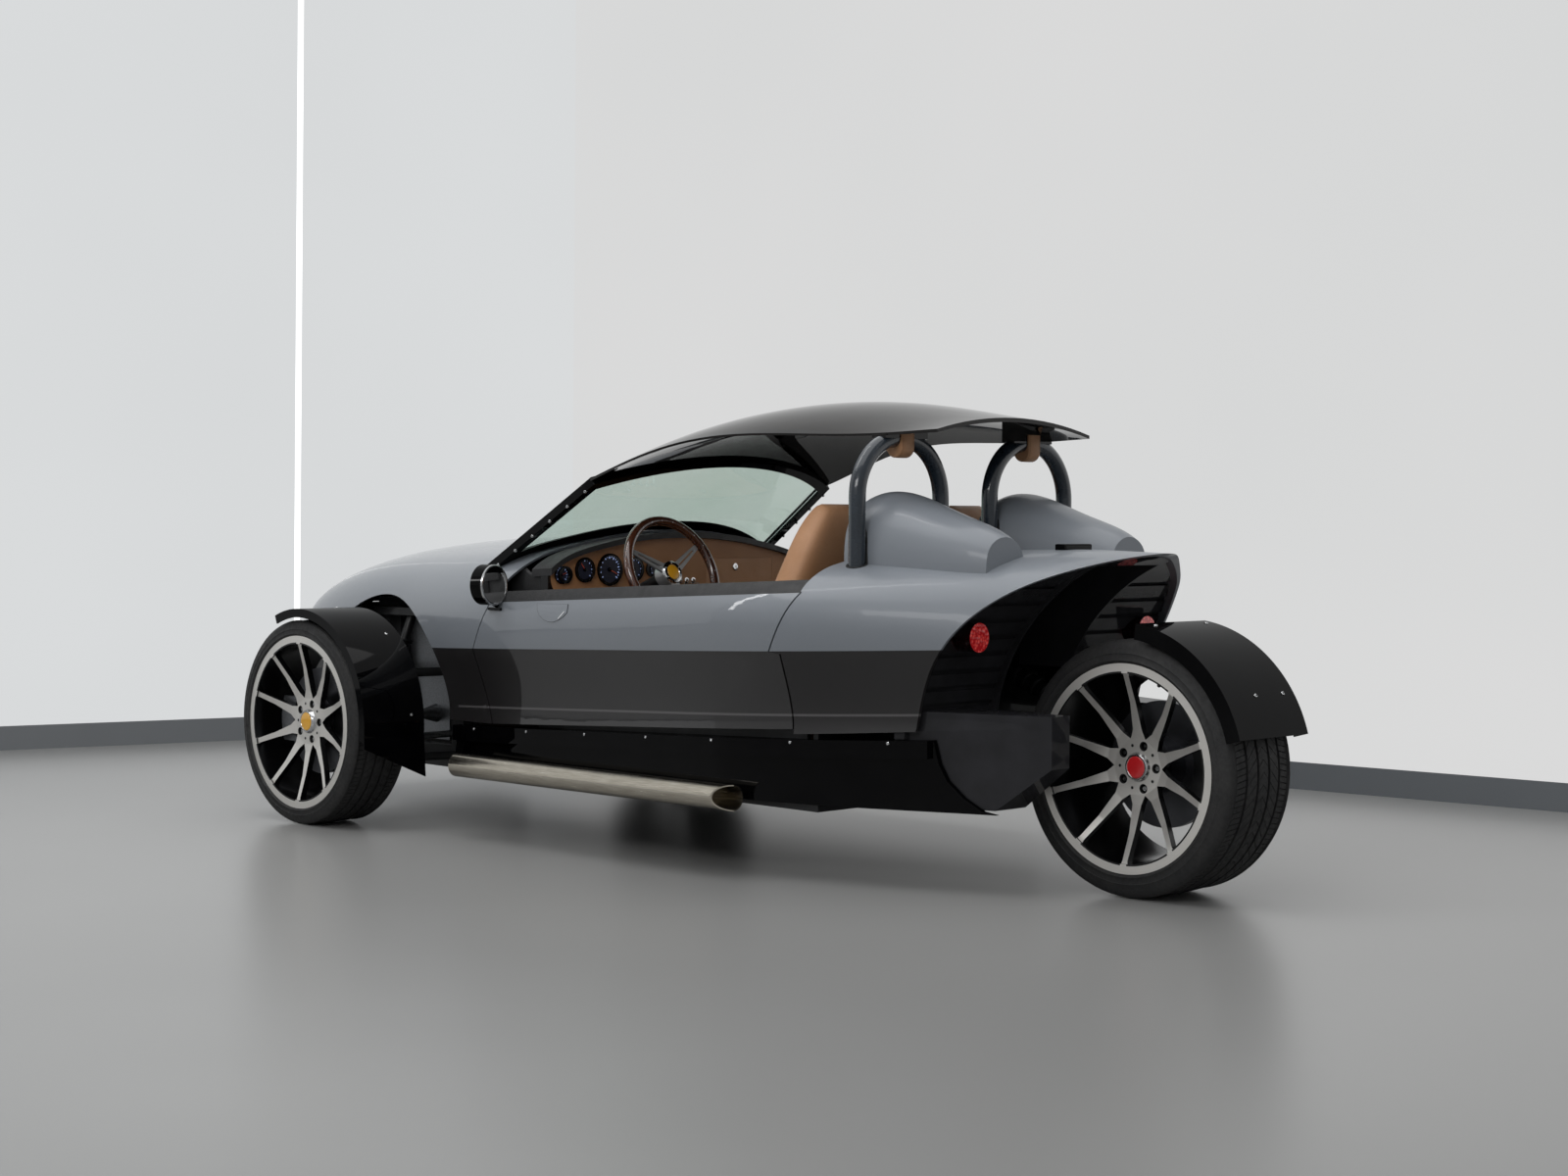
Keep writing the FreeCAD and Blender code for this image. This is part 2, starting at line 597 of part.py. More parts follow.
behind_cabin = tub_back + d.bulkhead_thickness + d.running_gap
floor = box((-d.sill_outer, d.sill_outer), (tub_front, tub_back + d.bulkhead_thickness),
            (d.floor_height, floor_top))
sill = box((d.sill_inner, d.sill_outer), cabin_y, (d.floor_height, d.floor_height + d.sill_height))
rear_rail = box((d.rear_frame_half, d.rear_frame_half + d.rear_frame_bar),
                (behind_cabin, along(d.swing_pivot + d.rear_frame_bar)),
                (d.rear_rail_bottom, d.rear_rail_bottom + d.swing_beam_height))
hoop_beam = box((-d.hoop_outer - d.hoop_tube, d.hoop_outer + d.hoop_tube),
                (behind_cabin, along(d.hoop_place + d.hoop_tube)),
                (d.hoop_foot - d.hoop_beam, d.hoop_foot - d.running_gap))
tub_pieces = [fuse([floor] + both_sides(sill).Solids), bulkhead(tub_front, d.body_height),
              bulkhead(tub_back, d.bulkhead_top), rack_guard.cut(rack_bore), front_cross, hoop_beam]
frame_side = front_frame_side().cut(rack_bore).cut(eye_bore)
tub_pieces += both_sides(rear_rail).Solids + both_sides(frame_side).Solids
shape_part("tub", Part.makeCompound(tub_pieces))

# Engine and gearbox as one plain block between the front rails
engine = box((-d.frame_plate_inner + d.running_gap, d.frame_plate_inner - d.running_gap),
             (along(-d.engine_front), along(d.engine_rear)), (d.engine_bottom, d.engine_top))
shape_part("engine_block", engine)

# Wheels: sketches turned about the axle, +X of each body pointing at the wheel's open face


def turned_body(node, points):
    body = doc.addObject("PartDesign::Body", node)
    body.AllowCompound = True
    turned(body, node + "_turn", points)
    return keep(node, body)


def tyre_body(label, radius, width, rim_width):
    bead, lip = d.rim_seat_radius + d.running_gap, d.rim_lip_radius + d.running_gap
    side, tread = rim_width / 2 - d.rim_wall - d.running_gap, width / 2
    half = [(side, bead), (side, lip), (tread, (lip + radius) / 2),
            (tread - d.tyre_edge, radius - d.tyre_edge), (tread - d.tyre_shoulder, radius)]
    return turned_body("tyre_" + label, half + [(-x, r) for x, r in half[::-1]])


def turn_about_axle(body, feature, name, count):
    """Repeats a feature around the wheel's axle."""
    ring = body.newObject("PartDesign::PolarPattern", name)
    ring.Originals = [feature]
    ring.Axis = (plane_of(body, "X_Axis"), [""])
    ring.Angle = 360
    ring.Occurrences = count
    body.Tip = ring


def rim_body(label, rim_width, recess, bore):
    half, wall = rim_width / 2, d.rim_wall
    face = half - recess
    back = face - d.hub_length
    right = [(half, d.rim_inner_radius), (half, d.rim_lip_radius), (half - wall, d.rim_lip_radius),
             (half - wall, d.rim_seat_radius)]
    body = turned_body("rim_" + label, right + [(-x, r) for x, r in right[::-1]])
    centre = [(face + d.cap_height, 0), (face + d.cap_height, d.cap_radius), (face, d.cap_radius),
              (face, d.hub_radius), (back, d.hub_radius)]
    centre += [(back, bore), (face - d.cap_floor, bore), (face - d.cap_floor, 0)] if bore else [(back, 0)]
    turned(body, "hub_turn_" + label, centre)
    sunk = d.rim_wall / 2
    start, end = d.hub_radius - sunk, d.rim_inner_radius + sunk
    rise = half - d.spoke_end_step - face
    sections = []
    for number, (reach_share, rise_share, width_share) in enumerate(spoke_shares):
        front, side = face + rise * rise_share, d.spoke_width * width_share
        section = outline_sketch(body, "spoke_section_%s_%d" % (label, number), "XY_Plane", [
            (front - d.spoke_thickness, -side), (front, -side), (front, side),
            (front - d.spoke_thickness, side)])
        height = start + (end - start) * reach_share
        section.AttachmentOffset = Placement(Vector(0, 0, mm(height)), Rotation())
        section.setExpression("AttachmentOffset.Base.z", height.text)
        sections.append(section)
    spoke = body.newObject("PartDesign::AdditiveLoft", "spoke_" + label)
    spoke.Profile = sections[0]
    spoke.Sections = sections[1:]
    spoke.Ruled = True
    turn_about_axle(body, spoke, "spokes_" + label, spoke_count)
    lug = body.newObject("Sketcher::SketchObject", "lug_outline_" + label)
    lug.AttachmentSupport = [(plane_of(body, "YZ_Plane"), "")]
    lug.MapMode = "FlatFace"
    lug.setExpression("AttachmentOffset.Base.z", face.text)
    side, height = d.lug_pitch * math.sin(lug_turn), d.lug_pitch * math.cos(lug_turn)
    lug.addGeometry(Part.Circle(Vector(mm(side), mm(height), 0), AXES["Z"], mm(d.lug_radius)))
    for kind, places, size in (("DistanceX", (-1, 1, 0, 3), side), ("DistanceY", (-1, 1, 0, 3), height),
                               ("Radius", (0,), d.lug_radius)):
        number = lug.addConstraint(Sketcher.Constraint(kind, *places, mm(size)))
        lug.setExpression("Constraints[%d]" % number, size.text)
    hole = body.newObject("PartDesign::Pocket", "lug_" + label)
    hole.Profile = lug
    bind(hole, Length=d.lug_depth)
    turn_about_axle(body, hole, "lugs_" + label, lug_count)
    return body


# Spoke sections: shares of the way from hub to rim, of the rise to the rim's face, and of the spoke width
spoke_shares = ((0.00, 0.00, 0.50), (0.14, 0.06, 0.30), (0.55, 0.42, 0.19), (0.93, 0.93, 0.17),
                (1.00, 1.00, 0.24))
spoke_count, lug_count = 10, 5
lug_turn = math.radians(180 / spoke_count)


def disc_body(label, rim_width, recess, bore, disc_back):
    hub_back = rim_width / 2 - recess - d.hub_length - d.running_gap
    outer = [(disc_back, d.disc_radius), (disc_back + d.disc_thickness, d.disc_radius),
             (disc_back + d.disc_thickness, d.disc_hat_radius), (hub_back, d.disc_hat_radius)]
    if bore:
        points = [(disc_back, bore)] + outer + [(hub_back, bore)]
    else:
        points = [(disc_back - d.stub_length, 0), (disc_back - d.stub_length, d.stub_radius),
                  (disc_back, d.stub_radius)] + outer + [(hub_back, 0)]
    return turned_body("disc_" + label, points)


def wheel(label, x, y, tyre_radius, tyre_width, rim_width, recess, bore, disc_back, turn):
    pieces = [tyre_body(label, tyre_radius, tyre_width, rim_width),
              rim_body(label, rim_width, recess, bore),
              disc_body(label, rim_width, recess, bore, disc_back)]
    for piece in pieces:
        piece.Placement = Placement(Vector(), Rotation(AXES["Z"], turn))
        place(piece, x, y, tyre_radius)


front_disc_back = -d.front_disc_offset
wheel("front_left", d.front_wheel_plane, front_axle, d.front_tyre_radius, d.front_tyre_width,
      d.front_rim_width,
      d.front_face_recess, None, front_disc_back, 0)
wheel("front_right", -d.front_wheel_plane, front_axle, d.front_tyre_radius, d.front_tyre_width,
      d.front_rim_width,
      d.front_face_recess, None, front_disc_back, 180)
wheel("rear", 0, rear_axle, d.rear_tyre_radius, d.rear_tyre_width, d.rear_rim_width,
      d.rear_face_recess, d.spindle_bore, -d.rear_disc_offset, 0)

# Knuckles with hub carrier, steering arm and brake caliper
axle_z = d.front_tyre_radius


def caliper(disc_x, disc_z, disc_y, lead):
    """A block that straddles a brake disc's edge, lead saying on which side of the axle it sits."""
    x = (disc_x - d.caliper_side, disc_x + d.disc_thickness + d.caliper_side)
    block = rod((x[0], disc_y, disc_z), (x[1], disc_y, disc_z), d.disc_radius + d.caliper_over)
    block = block.cut(rod((x[0], disc_y, disc_z), (x[1], disc_y, disc_z), d.disc_radius - d.caliper_depth))
    slot_x = (disc_x - d.panel_gap, disc_x + d.disc_thickness + d.panel_gap)
    block = block.cut(rod((slot_x[0], disc_y, disc_z), (slot_x[1], disc_y, disc_z),
                          d.disc_radius + d.panel_gap))
    y = (disc_y - d.disc_radius * 2, disc_y) if lead < 0 else (disc_y, disc_y + d.disc_radius * 2)
    return block.common(box(x, y, (disc_z - d.caliper_length / 2, disc_z + d.caliper_length / 2)))


def knuckle():
    """Left knuckle, turning about an upright kingpin."""
    x, y = d.kingpin_plane, front_axle
    low = d.lower_ball_height + d.ball_height / 2 + d.running_gap
    high = d.upper_ball_height - d.ball_height / 2 - d.running_gap
    carrier_x = (x - d.carrier_inner, x + d.carrier_outer)
    post = rod((x, y, low), (x, y, high), d.ball_radius)
    carrier = rod((carrier_x[0], y, axle_z), (carrier_x[1], y, axle_z), d.carrier_radius)
    arm_z = d.tie_rod_height + d.tie_rod_end_height / 2 + d.running_gap
    arm_box = box((x - d.tie_rod_end_radius, x + d.tie_rod_end_radius), (y, rack_place),
                  (arm_z, arm_z + d.arm_thickness))
    arm_eye = rod((x, rack_place, arm_z), (x, rack_place, arm_z + d.arm_thickness), d.tie_rod_end_radius)
    disc_x = d.front_wheel_plane + front_disc_back
    clamp = caliper(disc_x, axle_z, y, -1)
    bracket = box((disc_x - d.caliper_side, disc_x - d.panel_gap),
                  (y - d.disc_radius, y - d.carrier_radius + d.panel_gap),
                  (axle_z - d.stay_width, axle_z + d.stay_width))
    body = fuse([post, carrier, arm_box, arm_eye, clamp, bracket])
    return body.cut(rod((carrier_x[0] - d.cut_overrun, y, axle_z), (carrier_x[1], y, axle_z),
                        d.bearing_bore))


shape_part("knuckle_left", knuckle())
shape_part("knuckle_right", mirrored(knuckle()))


def wrap_ring(radius, width_low, width_high, thickness, lip, y, z, start, sweep):
    """A cycle fender: a channel section turned about the axle from start through sweep degrees."""
    inner, outer = mm(radius), mm(radius + thickness)
    low, high = mm(width_low), mm(width_high)
    edge = mm(lip)
    wall = mm(thickness)
    points = [(low, inner - edge), (low, outer), (high, outer), (high, inner - edge),
              (high - wall, inner - edge),
              (high - wall, inner), (low + wall, inner), (low + wall, inner - edge)]
    wire = Part.makePolygon([Vector(x, 0, r) for x, r in points + points[:1]])
    ring = Part.Face(wire).revolve(Vector(), AXES["X"], sweep)
    ring.rotate(Vector(), AXES["X"], start)
    ring.translate(Vector(0, mm(y), mm(z)))
    return ring


def front_fender():
    """Left wheel's cycle fender: a channel ring, a kicked out flap behind it, two stays and their foot."""
    side = d.front_tyre_width / 2 + d.fender_side_gap
    centre_y, radius = front_axle + d.fender_shift, d.front_tyre_radius + d.fender_clearance
    inner_x, outer_x = d.front_wheel_plane - side, d.front_wheel_plane + side
    ring = wrap_ring(radius, inner_x, outer_x, d.fender_thickness, d.fender_lip, centre_y, axle_z,
                     -front_fender_rear, front_fender_rear + front_fender_front)
    root = math.radians(front_fender_rear - flap_overlap)
    root_y = centre_y + (radius + d.fender_thickness) * math.sin(root)
    root_z = axle_z + (radius + d.fender_thickness) * math.cos(root)
    flap = side_prism([(root_y - d.fender_thickness, root_z), (root_y, root_z),
                       (along(d.flap_reach), d.flap_foot),
                       (along(d.flap_reach) - d.fender_thickness, d.flap_foot)], inner_x, outer_x)
    flap = flap.cut(front_prism([(inner_x, 0), (outer_x, 0), (outer_x, d.flap_outer_foot),
                                 (inner_x, d.flap_foot)],
                                far_front, far_back))
    stays = []
    for turn in front_stay_turns:
        bar = box((inner_x, inner_x + d.fender_thickness), (-d.stay_width / 2, d.stay_width / 2),
                  (d.carrier_radius / 2, radius))
        bar.rotate(Vector(), AXES["X"], turn)
        bar.translate(Vector(0, mm(centre_y), mm(axle_z)))
        stays.append(bar)
    foot = rod((inner_x, front_axle, axle_z), (d.kingpin_plane - d.ball_radius - d.running_gap, front_axle,
                                               axle_z),
               d.carrier_radius)
    foot = foot.cut(rod((inner_x, front_axle, axle_z), (d.kingpin_plane, front_axle, axle_z),
                        d.bearing_bore))
    return fuse([ring, flap, foot] + stays)


front_fender_rear, front_fender_front, flap_overlap = 96, 22, 2
front_stay_turns = (-74, -34)
shape_part("fender_front_left", front_fender())
shape_part("fender_front_right", mirrored(front_fender()))

# Front suspension, fixed at its parked height


def wishbones():
    """Upper and lower wishbone of the left side, as two pieces."""
    arms = []
    for height in (d.lower_ball_height, d.upper_ball_height):
        tip = (d.kingpin_plane, front_axle, height)
        legs = [rod((d.frame_plate_inner, front_axle + sign * d.wishbone_spread, height + d.wishbone_lift),
                    tip,
                    d.wishbone_tube_radius) for sign in (-1, 1)]
        ball = rod((tip[0], tip[1], height - d.ball_height / 2),
                   (tip[0], tip[1], height + d.ball_height / 2),
                   d.ball_radius)
        inside = box((-far_out, d.frame_plate_outer + d.running_gap),
                     (front_axle - d.wishbone_spread * 2, front_axle + d.wishbone_spread * 2),
                     (d.cut_overrun, d.body_height))
        arms.append(fuse(legs + [ball]).cut(inside))
    return arms


shape_part("wishbones", Part.makeCompound([piece for arm in wishbones() for piece in (arm, mirrored(arm))]))


def coil_over(foot, head):
    """A damper inside a coil spring, the spring drawn as a ribbed sleeve."""
    a, b = Vector(*map(mm, foot)), Vector(*map(mm, head))
    length = a.distanceToPoint(b)
    pieces = [Part.makeCylinder(mm(d.damper_radius), length)]
    pieces.append(Part.makeCylinder(mm(d.coil_radius - d.coil_wire), length * coil_span_share,
                                    Vector(0, 0, length * (1 - coil_span_share) / 2)))
    pitch = length * coil_span_share / coil_turns
    first = length * (1 - coil_span_share) / 2
    for turn in range(coil_turns + 1):
        pieces.append(Part.makeTorus(mm(d.coil_radius - d.coil_wire), mm(d.coil_wire),
                                     Vector(0, 0, first + pitch * turn)))
    for end in (first - mm(d.coil_wire), length - first):
        pieces.append(Part.makeCylinder(mm(d.coil_radius), mm(d.coil_wire), Vector(0, 0, end)))
    body = fuse(pieces)
    body.Placement = Placement(a, Rotation(AXES["Z"], b - a))
    return body


coil_turns = 7
coil_span_share = 0.62
coil_foot = (d.coil_foot_side, front_axle - d.coil_foot_lead, d.lower_ball_height + d.coil_foot_rise)
coil_head = (d.frame_plate_outer + d.coil_radius, front_axle - d.coil_head_lead,
             d.frame_top - d.running_gap)
front_coil = coil_over(coil_foot, coil_head).cut(box((0, far_out), (along(-d.engine_front),
                                                                    along(d.engine_rear)),
                                                     (d.frame_top - d.running_gap, d.body_height)))
rear_coil = coil_over((-d.swing_beam_side, along(d.wheelbase - d.shock_reach), d.shock_foot_height),
                      (-d.swing_beam_side, tub_back + d.bulkhead_thickness + d.running_gap,
                       d.shock_head_height))
coil_leg = rod((d.frame_plate_inner, front_axle - d.wishbone_spread, d.lower_ball_height + d.wishbone_lift),
               (d.kingpin_plane, front_axle, d.lower_ball_height), d.wishbone_tube_radius + d.running_gap)
front_coil = front_coil.cut(coil_leg)
beam_top = d.rear_tyre_radius + d.swing_beam_height / 2 + d.running_gap
rear_coil = rear_coil.cut(box((-far_out, 0), (tub_back, far_back), (0, beam_top)))
rear_coil = rear_coil.cut(box((-far_out, 0), (tub_back, tub_back + d.bulkhead_thickness + d.running_gap),
                              (0, far_up)))
shape_part("coil_overs", Part.makeCompound([front_coil, mirrored(front_coil), rear_coil]))


def half_shaft():
    x = d.frame_plate_inner
    bar = rod((x, front_axle, axle_z), (d.kingpin_plane, front_axle, axle_z), d.shaft_radius)
    boot = Part.makeSphere(mm(d.joint_boot_radius), Vector(mm(d.kingpin_plane), mm(front_axle), mm(axle_z)))
    inner_boot = Part.makeCone(mm(d.joint_boot_radius), mm(d.shaft_radius), mm(d.joint_boot_length),
                               Vector(mm(x), mm(front_axle), mm(axle_z)), AXES["X"])
    return fuse([bar, boot, inner_boot])


shape_part("half_shafts", both_sides(half_shaft()))

rack_bar = rod((-d.kingpin_plane, rack_place, d.tie_rod_height),
               (d.kingpin_plane, rack_place, d.tie_rod_height),
               d.tie_rod_radius)
rack_ends = [rod((side, rack_place, d.tie_rod_height - d.tie_rod_end_height / 2),
                 (side, rack_place, d.tie_rod_height + d.tie_rod_end_height / 2), d.tie_rod_end_radius)
             for side in (-d.kingpin_plane, d.kingpin_plane)]
shape_part("steering_rack", fuse([rack_bar] + rack_ends))

# Windscreen: a raked flat arch standing on the cowl
screen_rake = math.atan2(mm(d.screen_top_height - d.screen_foot_height),
                         mm(d.screen_top_place - d.screen_foot_place))
screen_slope = math.hypot(mm(d.screen_top_height - d.screen_foot_height),
                          mm(d.screen_top_place - d.screen_foot_place))
screen_foot_y = mm(along(d.screen_foot_place))


def screen_solid(inset, depth_low, depth_high, sink):
    """The windscreen's outline, drawn in by inset, between two depths across its plane."""
    foot, top = mm(d.screen_foot_half) - inset, mm(d.screen_top_half) - inset
    crown = screen_slope + mm(d.screen_crown_rise) - inset
    corner = screen_slope - inset
    edges = [Part.makeLine(Vector(-foot, -sink, 0), Vector(foot, -sink, 0)),
             Part.makeLine(Vector(foot, -sink, 0), Vector(top, corner, 0)),
             Part.Arc(Vector(top, corner, 0), Vector(0, crown, 0), Vector(-top, corner, 0)).toShape(),
             Part.makeLine(Vector(-top, corner, 0), Vector(-foot, -sink, 0))]
    solid = Part.Face(Part.Wire(edges)).extrude(Vector(0, 0, mm(depth_high) - mm(depth_low)))
    solid.translate(Vector(0, 0, mm(depth_low)))
    solid.Placement = Placement(Vector(0, screen_foot_y, mm(d.screen_foot_height)),
                                Rotation(AXES["X"], math.degrees(screen_rake))).multiply(solid.Placement)
    return solid


rail_form = body_form(mm(d.screen_frame))
screen_hole = screen_solid(mm(d.screen_frame), -d.screen_depth, d.screen_depth * 2,
                           mm(d.screen_sink)).cut(rail_form)
screen_frame = screen_solid(0, 0, d.screen_depth, mm(d.screen_sink)).cut(screen_hole).cut(outside_form)
shape_part("windscreen_frame", solids(screen_frame))
pane = screen_solid(mm(d.screen_frame + d.running_gap), (d.screen_depth - d.glass) / 2,
                    (d.screen_depth + d.glass) / 2,
                    mm(d.screen_sink)).cut(body_form(mm(d.screen_frame + d.running_gap)))
shape_part("windscreen_glass", solids(pane))

# Roof cap: a thin crowned shell from the windscreen back over the hoops
# Stations: share of the roof's length, of its half width, then edge and crown as shares of its height
roof_shares = ((0.00, 0.985, 0.822, 0.880), (0.20, 0.960, 0.880, 0.955), (0.42, 0.880, 0.915, 0.990),
               (0.66, 0.780, 0.915, 0.992), (0.88, 0.680, 0.915, 0.968), (1.00, 0.640, 0.920, 0.950))


def roof_form(sink):
    """The roof's upper form down to a flat below its edge, lowered by sink."""
    wires = []
    for length_share, half_share, edge_share, crown_share in roof_shares:
        y = mm(along(d.roof_front + d.roof_length * length_share))
        half = mm(d.roof_half_width * half_share) + sink
        edge = mm(d.roof_height * edge_share) - sink
        crown = mm(d.roof_height * crown_share) - sink
        arc = Part.Arc(Vector(-half, y, edge), Vector(0, y, crown), Vector(half, y, edge)).toShape()
        foot = mm(d.roof_height * roof_foot_share)
        wires.append(Part.Wire([arc, Part.makeLine(Vector(half, y, edge), Vector(half, y, foot)),
                                Part.makeLine(Vector(half, y, foot), Vector(-half, y, foot)),
                                Part.makeLine(Vector(-half, y, foot), Vector(-half, y, edge))]))
    return Part.makeLoft(wires, True, False)


roof_foot_share = 0.75
roof_shell = roof_form(0).cut(roof_form(mm(d.roof_thickness)))
saddle = both_sides(box((d.hoop_inner + d.hoop_corner / 2, d.hoop_outer - d.hoop_corner / 2),
                        (along(d.hoop_place - d.hoop_tube), along(d.hoop_place + d.hoop_tube)),
                        (d.hoop_top, d.roof_height)).common(roof_form(mm(d.roof_thickness / 2))))
roof = fuse([roof_shell] + saddle.Solids).cut(both_sides(hoop_clear))
roof = roof.cut(screen_solid(-gap, -d.running_gap, d.screen_depth + d.running_gap, mm(d.screen_sink)))
shape_part("roof_panel", solids(roof))
shape_part("roll_hoops", both_sides(hoop_left))

# Cabin: dash, brow, glovebox lid, column, steering wheel, seats
dash_y = (along(d.dash_place - d.dash_thickness), along(d.dash_place))
lid_x = (-d.lid_side - d.lid_width / 2, -d.lid_side + d.lid_width / 2)
lid_z = (d.lid_bottom, d.lid_bottom + d.lid_height)
dash_form = body_form(-mm(d.skin + d.brow_thickness) - gap * 2, overrun)
dash = box((-d.dash_half_width, d.dash_half_width), dash_y,
           (d.dash_bottom, d.body_height)).common(dash_form)
pocket = box((lid_x[0] + d.lid_frame, lid_x[1] - d.lid_frame), (dash_y[0] - d.lid_pocket, dash_y[1]),
             (lid_z[0] + d.lid_frame, lid_z[1] - d.lid_frame))
pocket_shell = box((lid_x[0], lid_x[1]), (dash_y[0] - d.lid_pocket - d.lid_frame, dash_y[0]), lid_z)
lid_seat = box((lid_x[0] - d.lid_seat_gap, lid_x[1] + d.lid_seat_gap),
               (dash_y[1] - d.lid_thickness, dash_y[1]),
               (lid_z[0] - d.lid_seat_gap, lid_z[1] + d.lid_seat_gap))
gauge_rings = []
middle_step = d.large_gauge + d.gauge_gap + d.middle_gauge
small_step = middle_step + d.middle_gauge + d.gauge_gap + d.small_gauge
gauge_places = ((d.gauge_middle + small_step, d.gauge_height - d.gauge_drop, d.small_gauge),
                (d.gauge_middle + middle_step, d.gauge_height, d.middle_gauge),
                (d.gauge_middle, d.gauge_height, d.large_gauge),
                (d.gauge_middle - middle_step, d.gauge_height, d.middle_gauge),
                (d.gauge_middle - small_step, d.gauge_height, d.small_gauge))
for gauge_x, gauge_z, gauge_radius in gauge_places:
    ring = pipe((gauge_x, dash_y[1], gauge_z), (gauge_x, dash_y[1] + d.gauge_bezel, gauge_z), gauge_radius,
                d.gauge_bezel)
    gauge_rings.append(ring)
dash = fuse([dash, pocket_shell.common(dash_form)] + gauge_rings).cut(pocket).cut(lid_seat)
shape_part("dash_panel", solids(dash))
shape_part("glovebox_lid", box((lid_x[0], lid_x[1]),
                               (dash_y[1] - d.lid_thickness + d.running_gap, dash_y[1]), lid_z))

brow_form = body_form(-mm(d.skin + d.brow_thickness) - gap, overrun)
brow = box((-d.dash_half_width, d.dash_half_width),
           (along(d.cockpit_front) - d.cut_overrun, dash_y[1] + d.brow_reach), (d.brow_foot, d.body_height))
shape_part("dash_brow", solids(brow.common(seat_form).cut(brow_form)))

# Steering column and wheel, on one raked line
rake = math.radians(mm(d.column_rake))
column_axis = Vector(0, math.cos(rake), math.sin(rake))
wheel_centre = Vector(mm(d.steering_wheel_side), mm(along(d.steering_wheel_place)),
                      mm(d.steering_wheel_height))


def on_column(distance):
    """A point on the column's axis, counted back from the steering wheel's middle."""
    return wheel_centre - column_axis * mm(distance)


def column_bar(start, end, radius):
    a, b = on_column(start), on_column(end)
    return Part.makeCylinder(mm(radius), a.distanceToPoint(b), a, b - a)


column = column_bar(d.wheel_hub_length, d.column_length, d.column_radius)
column_plate = box((d.steering_wheel_side - d.column_plate, d.steering_wheel_side + d.column_plate),
                   (dash_y[1] + d.running_gap, dash_y[1] + d.running_gap + d.lid_frame),
                   (d.dash_bottom, d.column_plate_top))
column = fuse([column, column_plate])
column = column.cut(column_bar(0, d.wheel_hub_length + d.column_socket,
                               d.column_shaft_radius + d.rack_clearance))
shape_part("steering_column", solids(column))
column_hole = column_bar(0, d.column_length, d.column_radius + d.running_gap)
made["dash_panel"].Shape = solids(made["dash_panel"].Shape.cut(column_hole))


def steering_wheel():
    """Round rim, three flat spokes and a hub, made about Z and then laid on the column."""
    rim = Part.makeTorus(mm(d.wheel_rim_radius), mm(d.wheel_rim_tube))
    hub = Part.makeCylinder(mm(d.wheel_hub_radius), mm(d.wheel_hub_length) - gap,
                            Vector(0, 0, -mm(d.wheel_hub_length) + gap))
    shaft = Part.makeCylinder(mm(d.column_shaft_radius), mm(d.wheel_hub_length + d.column_socket) - gap * 2,
                              Vector(0, 0, -mm(d.wheel_hub_length + d.column_socket) + gap * 2))
    root, tip = d.wheel_spoke_width / 2, d.wheel_rim_tube
    reach = mm(d.wheel_rim_radius)
    corners = [Vector(0, -mm(root), 0), Vector(reach, -mm(tip) / 2, 0), Vector(reach, mm(tip) / 2, 0),
               Vector(0, mm(root), 0), Vector(0, -mm(root), 0)]
    blade = Part.Face(Part.makePolygon(corners)).extrude(Vector(0, 0, -mm(d.wheel_spoke_thickness)))
    slot = box((d.wheel_hub_radius + d.wheel_spoke_thickness, d.wheel_rim_radius - d.wheel_spoke_width),
               (-d.wheel_spoke_thickness / 2, d.wheel_spoke_thickness / 2),
               (-d.wheel_hub_length, d.wheel_hub_length))
    spokes = [blade.cut(slot) for turn in steering_spoke_turns]
    for spoke, turn in zip(spokes, steering_spoke_turns):
        spoke.rotate(Vector(), AXES["Z"], turn)
    whole = fuse([rim, hub, shaft] + spokes)
    whole.Placement = Placement(wheel_centre, Rotation(-AXES["X"], Vector(0, -math.sin(rake),
                                                                          math.cos(rake)),
                                                       column_axis, "ZXY"))
    return whole


steering_spoke_turns = (33, 153, 273)
shape_part("steering_wheel", steering_wheel())


def seat():
    """One high backed seat of the left side: a middle panel between two raised bolsters."""
    base = floor_top + d.running_gap
    crest = floor_top + d.seat_back_height
    squab, shoulder = d.seat_cushion_height, d.seat_back_height * seat_shoulder_share
    pieces = []
    for low, high, dish in ((0, d.seat_bolster, 0),
                            (d.seat_bolster / 2, d.seat_width - d.seat_bolster / 2, d.seat_dish),
                            (d.seat_width - d.seat_bolster, d.seat_width, 0)):
        outline = [(along(d.seat_place), base), (along(d.seat_place + d.seat_depth), base),
                   (along(d.seat_place + d.seat_depth + d.seat_lean * seat_shoulder_share),
                    base + shoulder),
                   (along(d.seat_place + d.seat_depth + d.seat_lean), crest),
                   (along(d.seat_place + d.seat_depth + d.seat_lean - d.seat_back_thickness),
                    crest - d.seat_dish),
                   (along(d.seat_place + d.seat_depth - d.seat_back_thickness) + dish, base + squab - dish),
                   (along(d.seat_place), base + squab + d.seat_dish - dish)]
        x = d.seat_side - d.seat_width / 2
        piece = side_prism(outline, x + low, x + high)
        pieces.append(piece.makeFillet(mm(d.seat_round - dish / 2), piece.Edges))
    half, side = d.seat_width / 2, d.seat_side
    taper = [(side - half, base), (side + half, base), (side + half, base + shoulder),
             (side + d.seat_crown, crest),
             (side - d.seat_crown, crest), (side - half, base + shoulder)]
    return fuse(pieces).common(front_prism(taper, far_front, far_back))


seat_shoulder_share = 0.62
shape_part("seats", both_sides(seat()))


# Rocker panels and side pipes


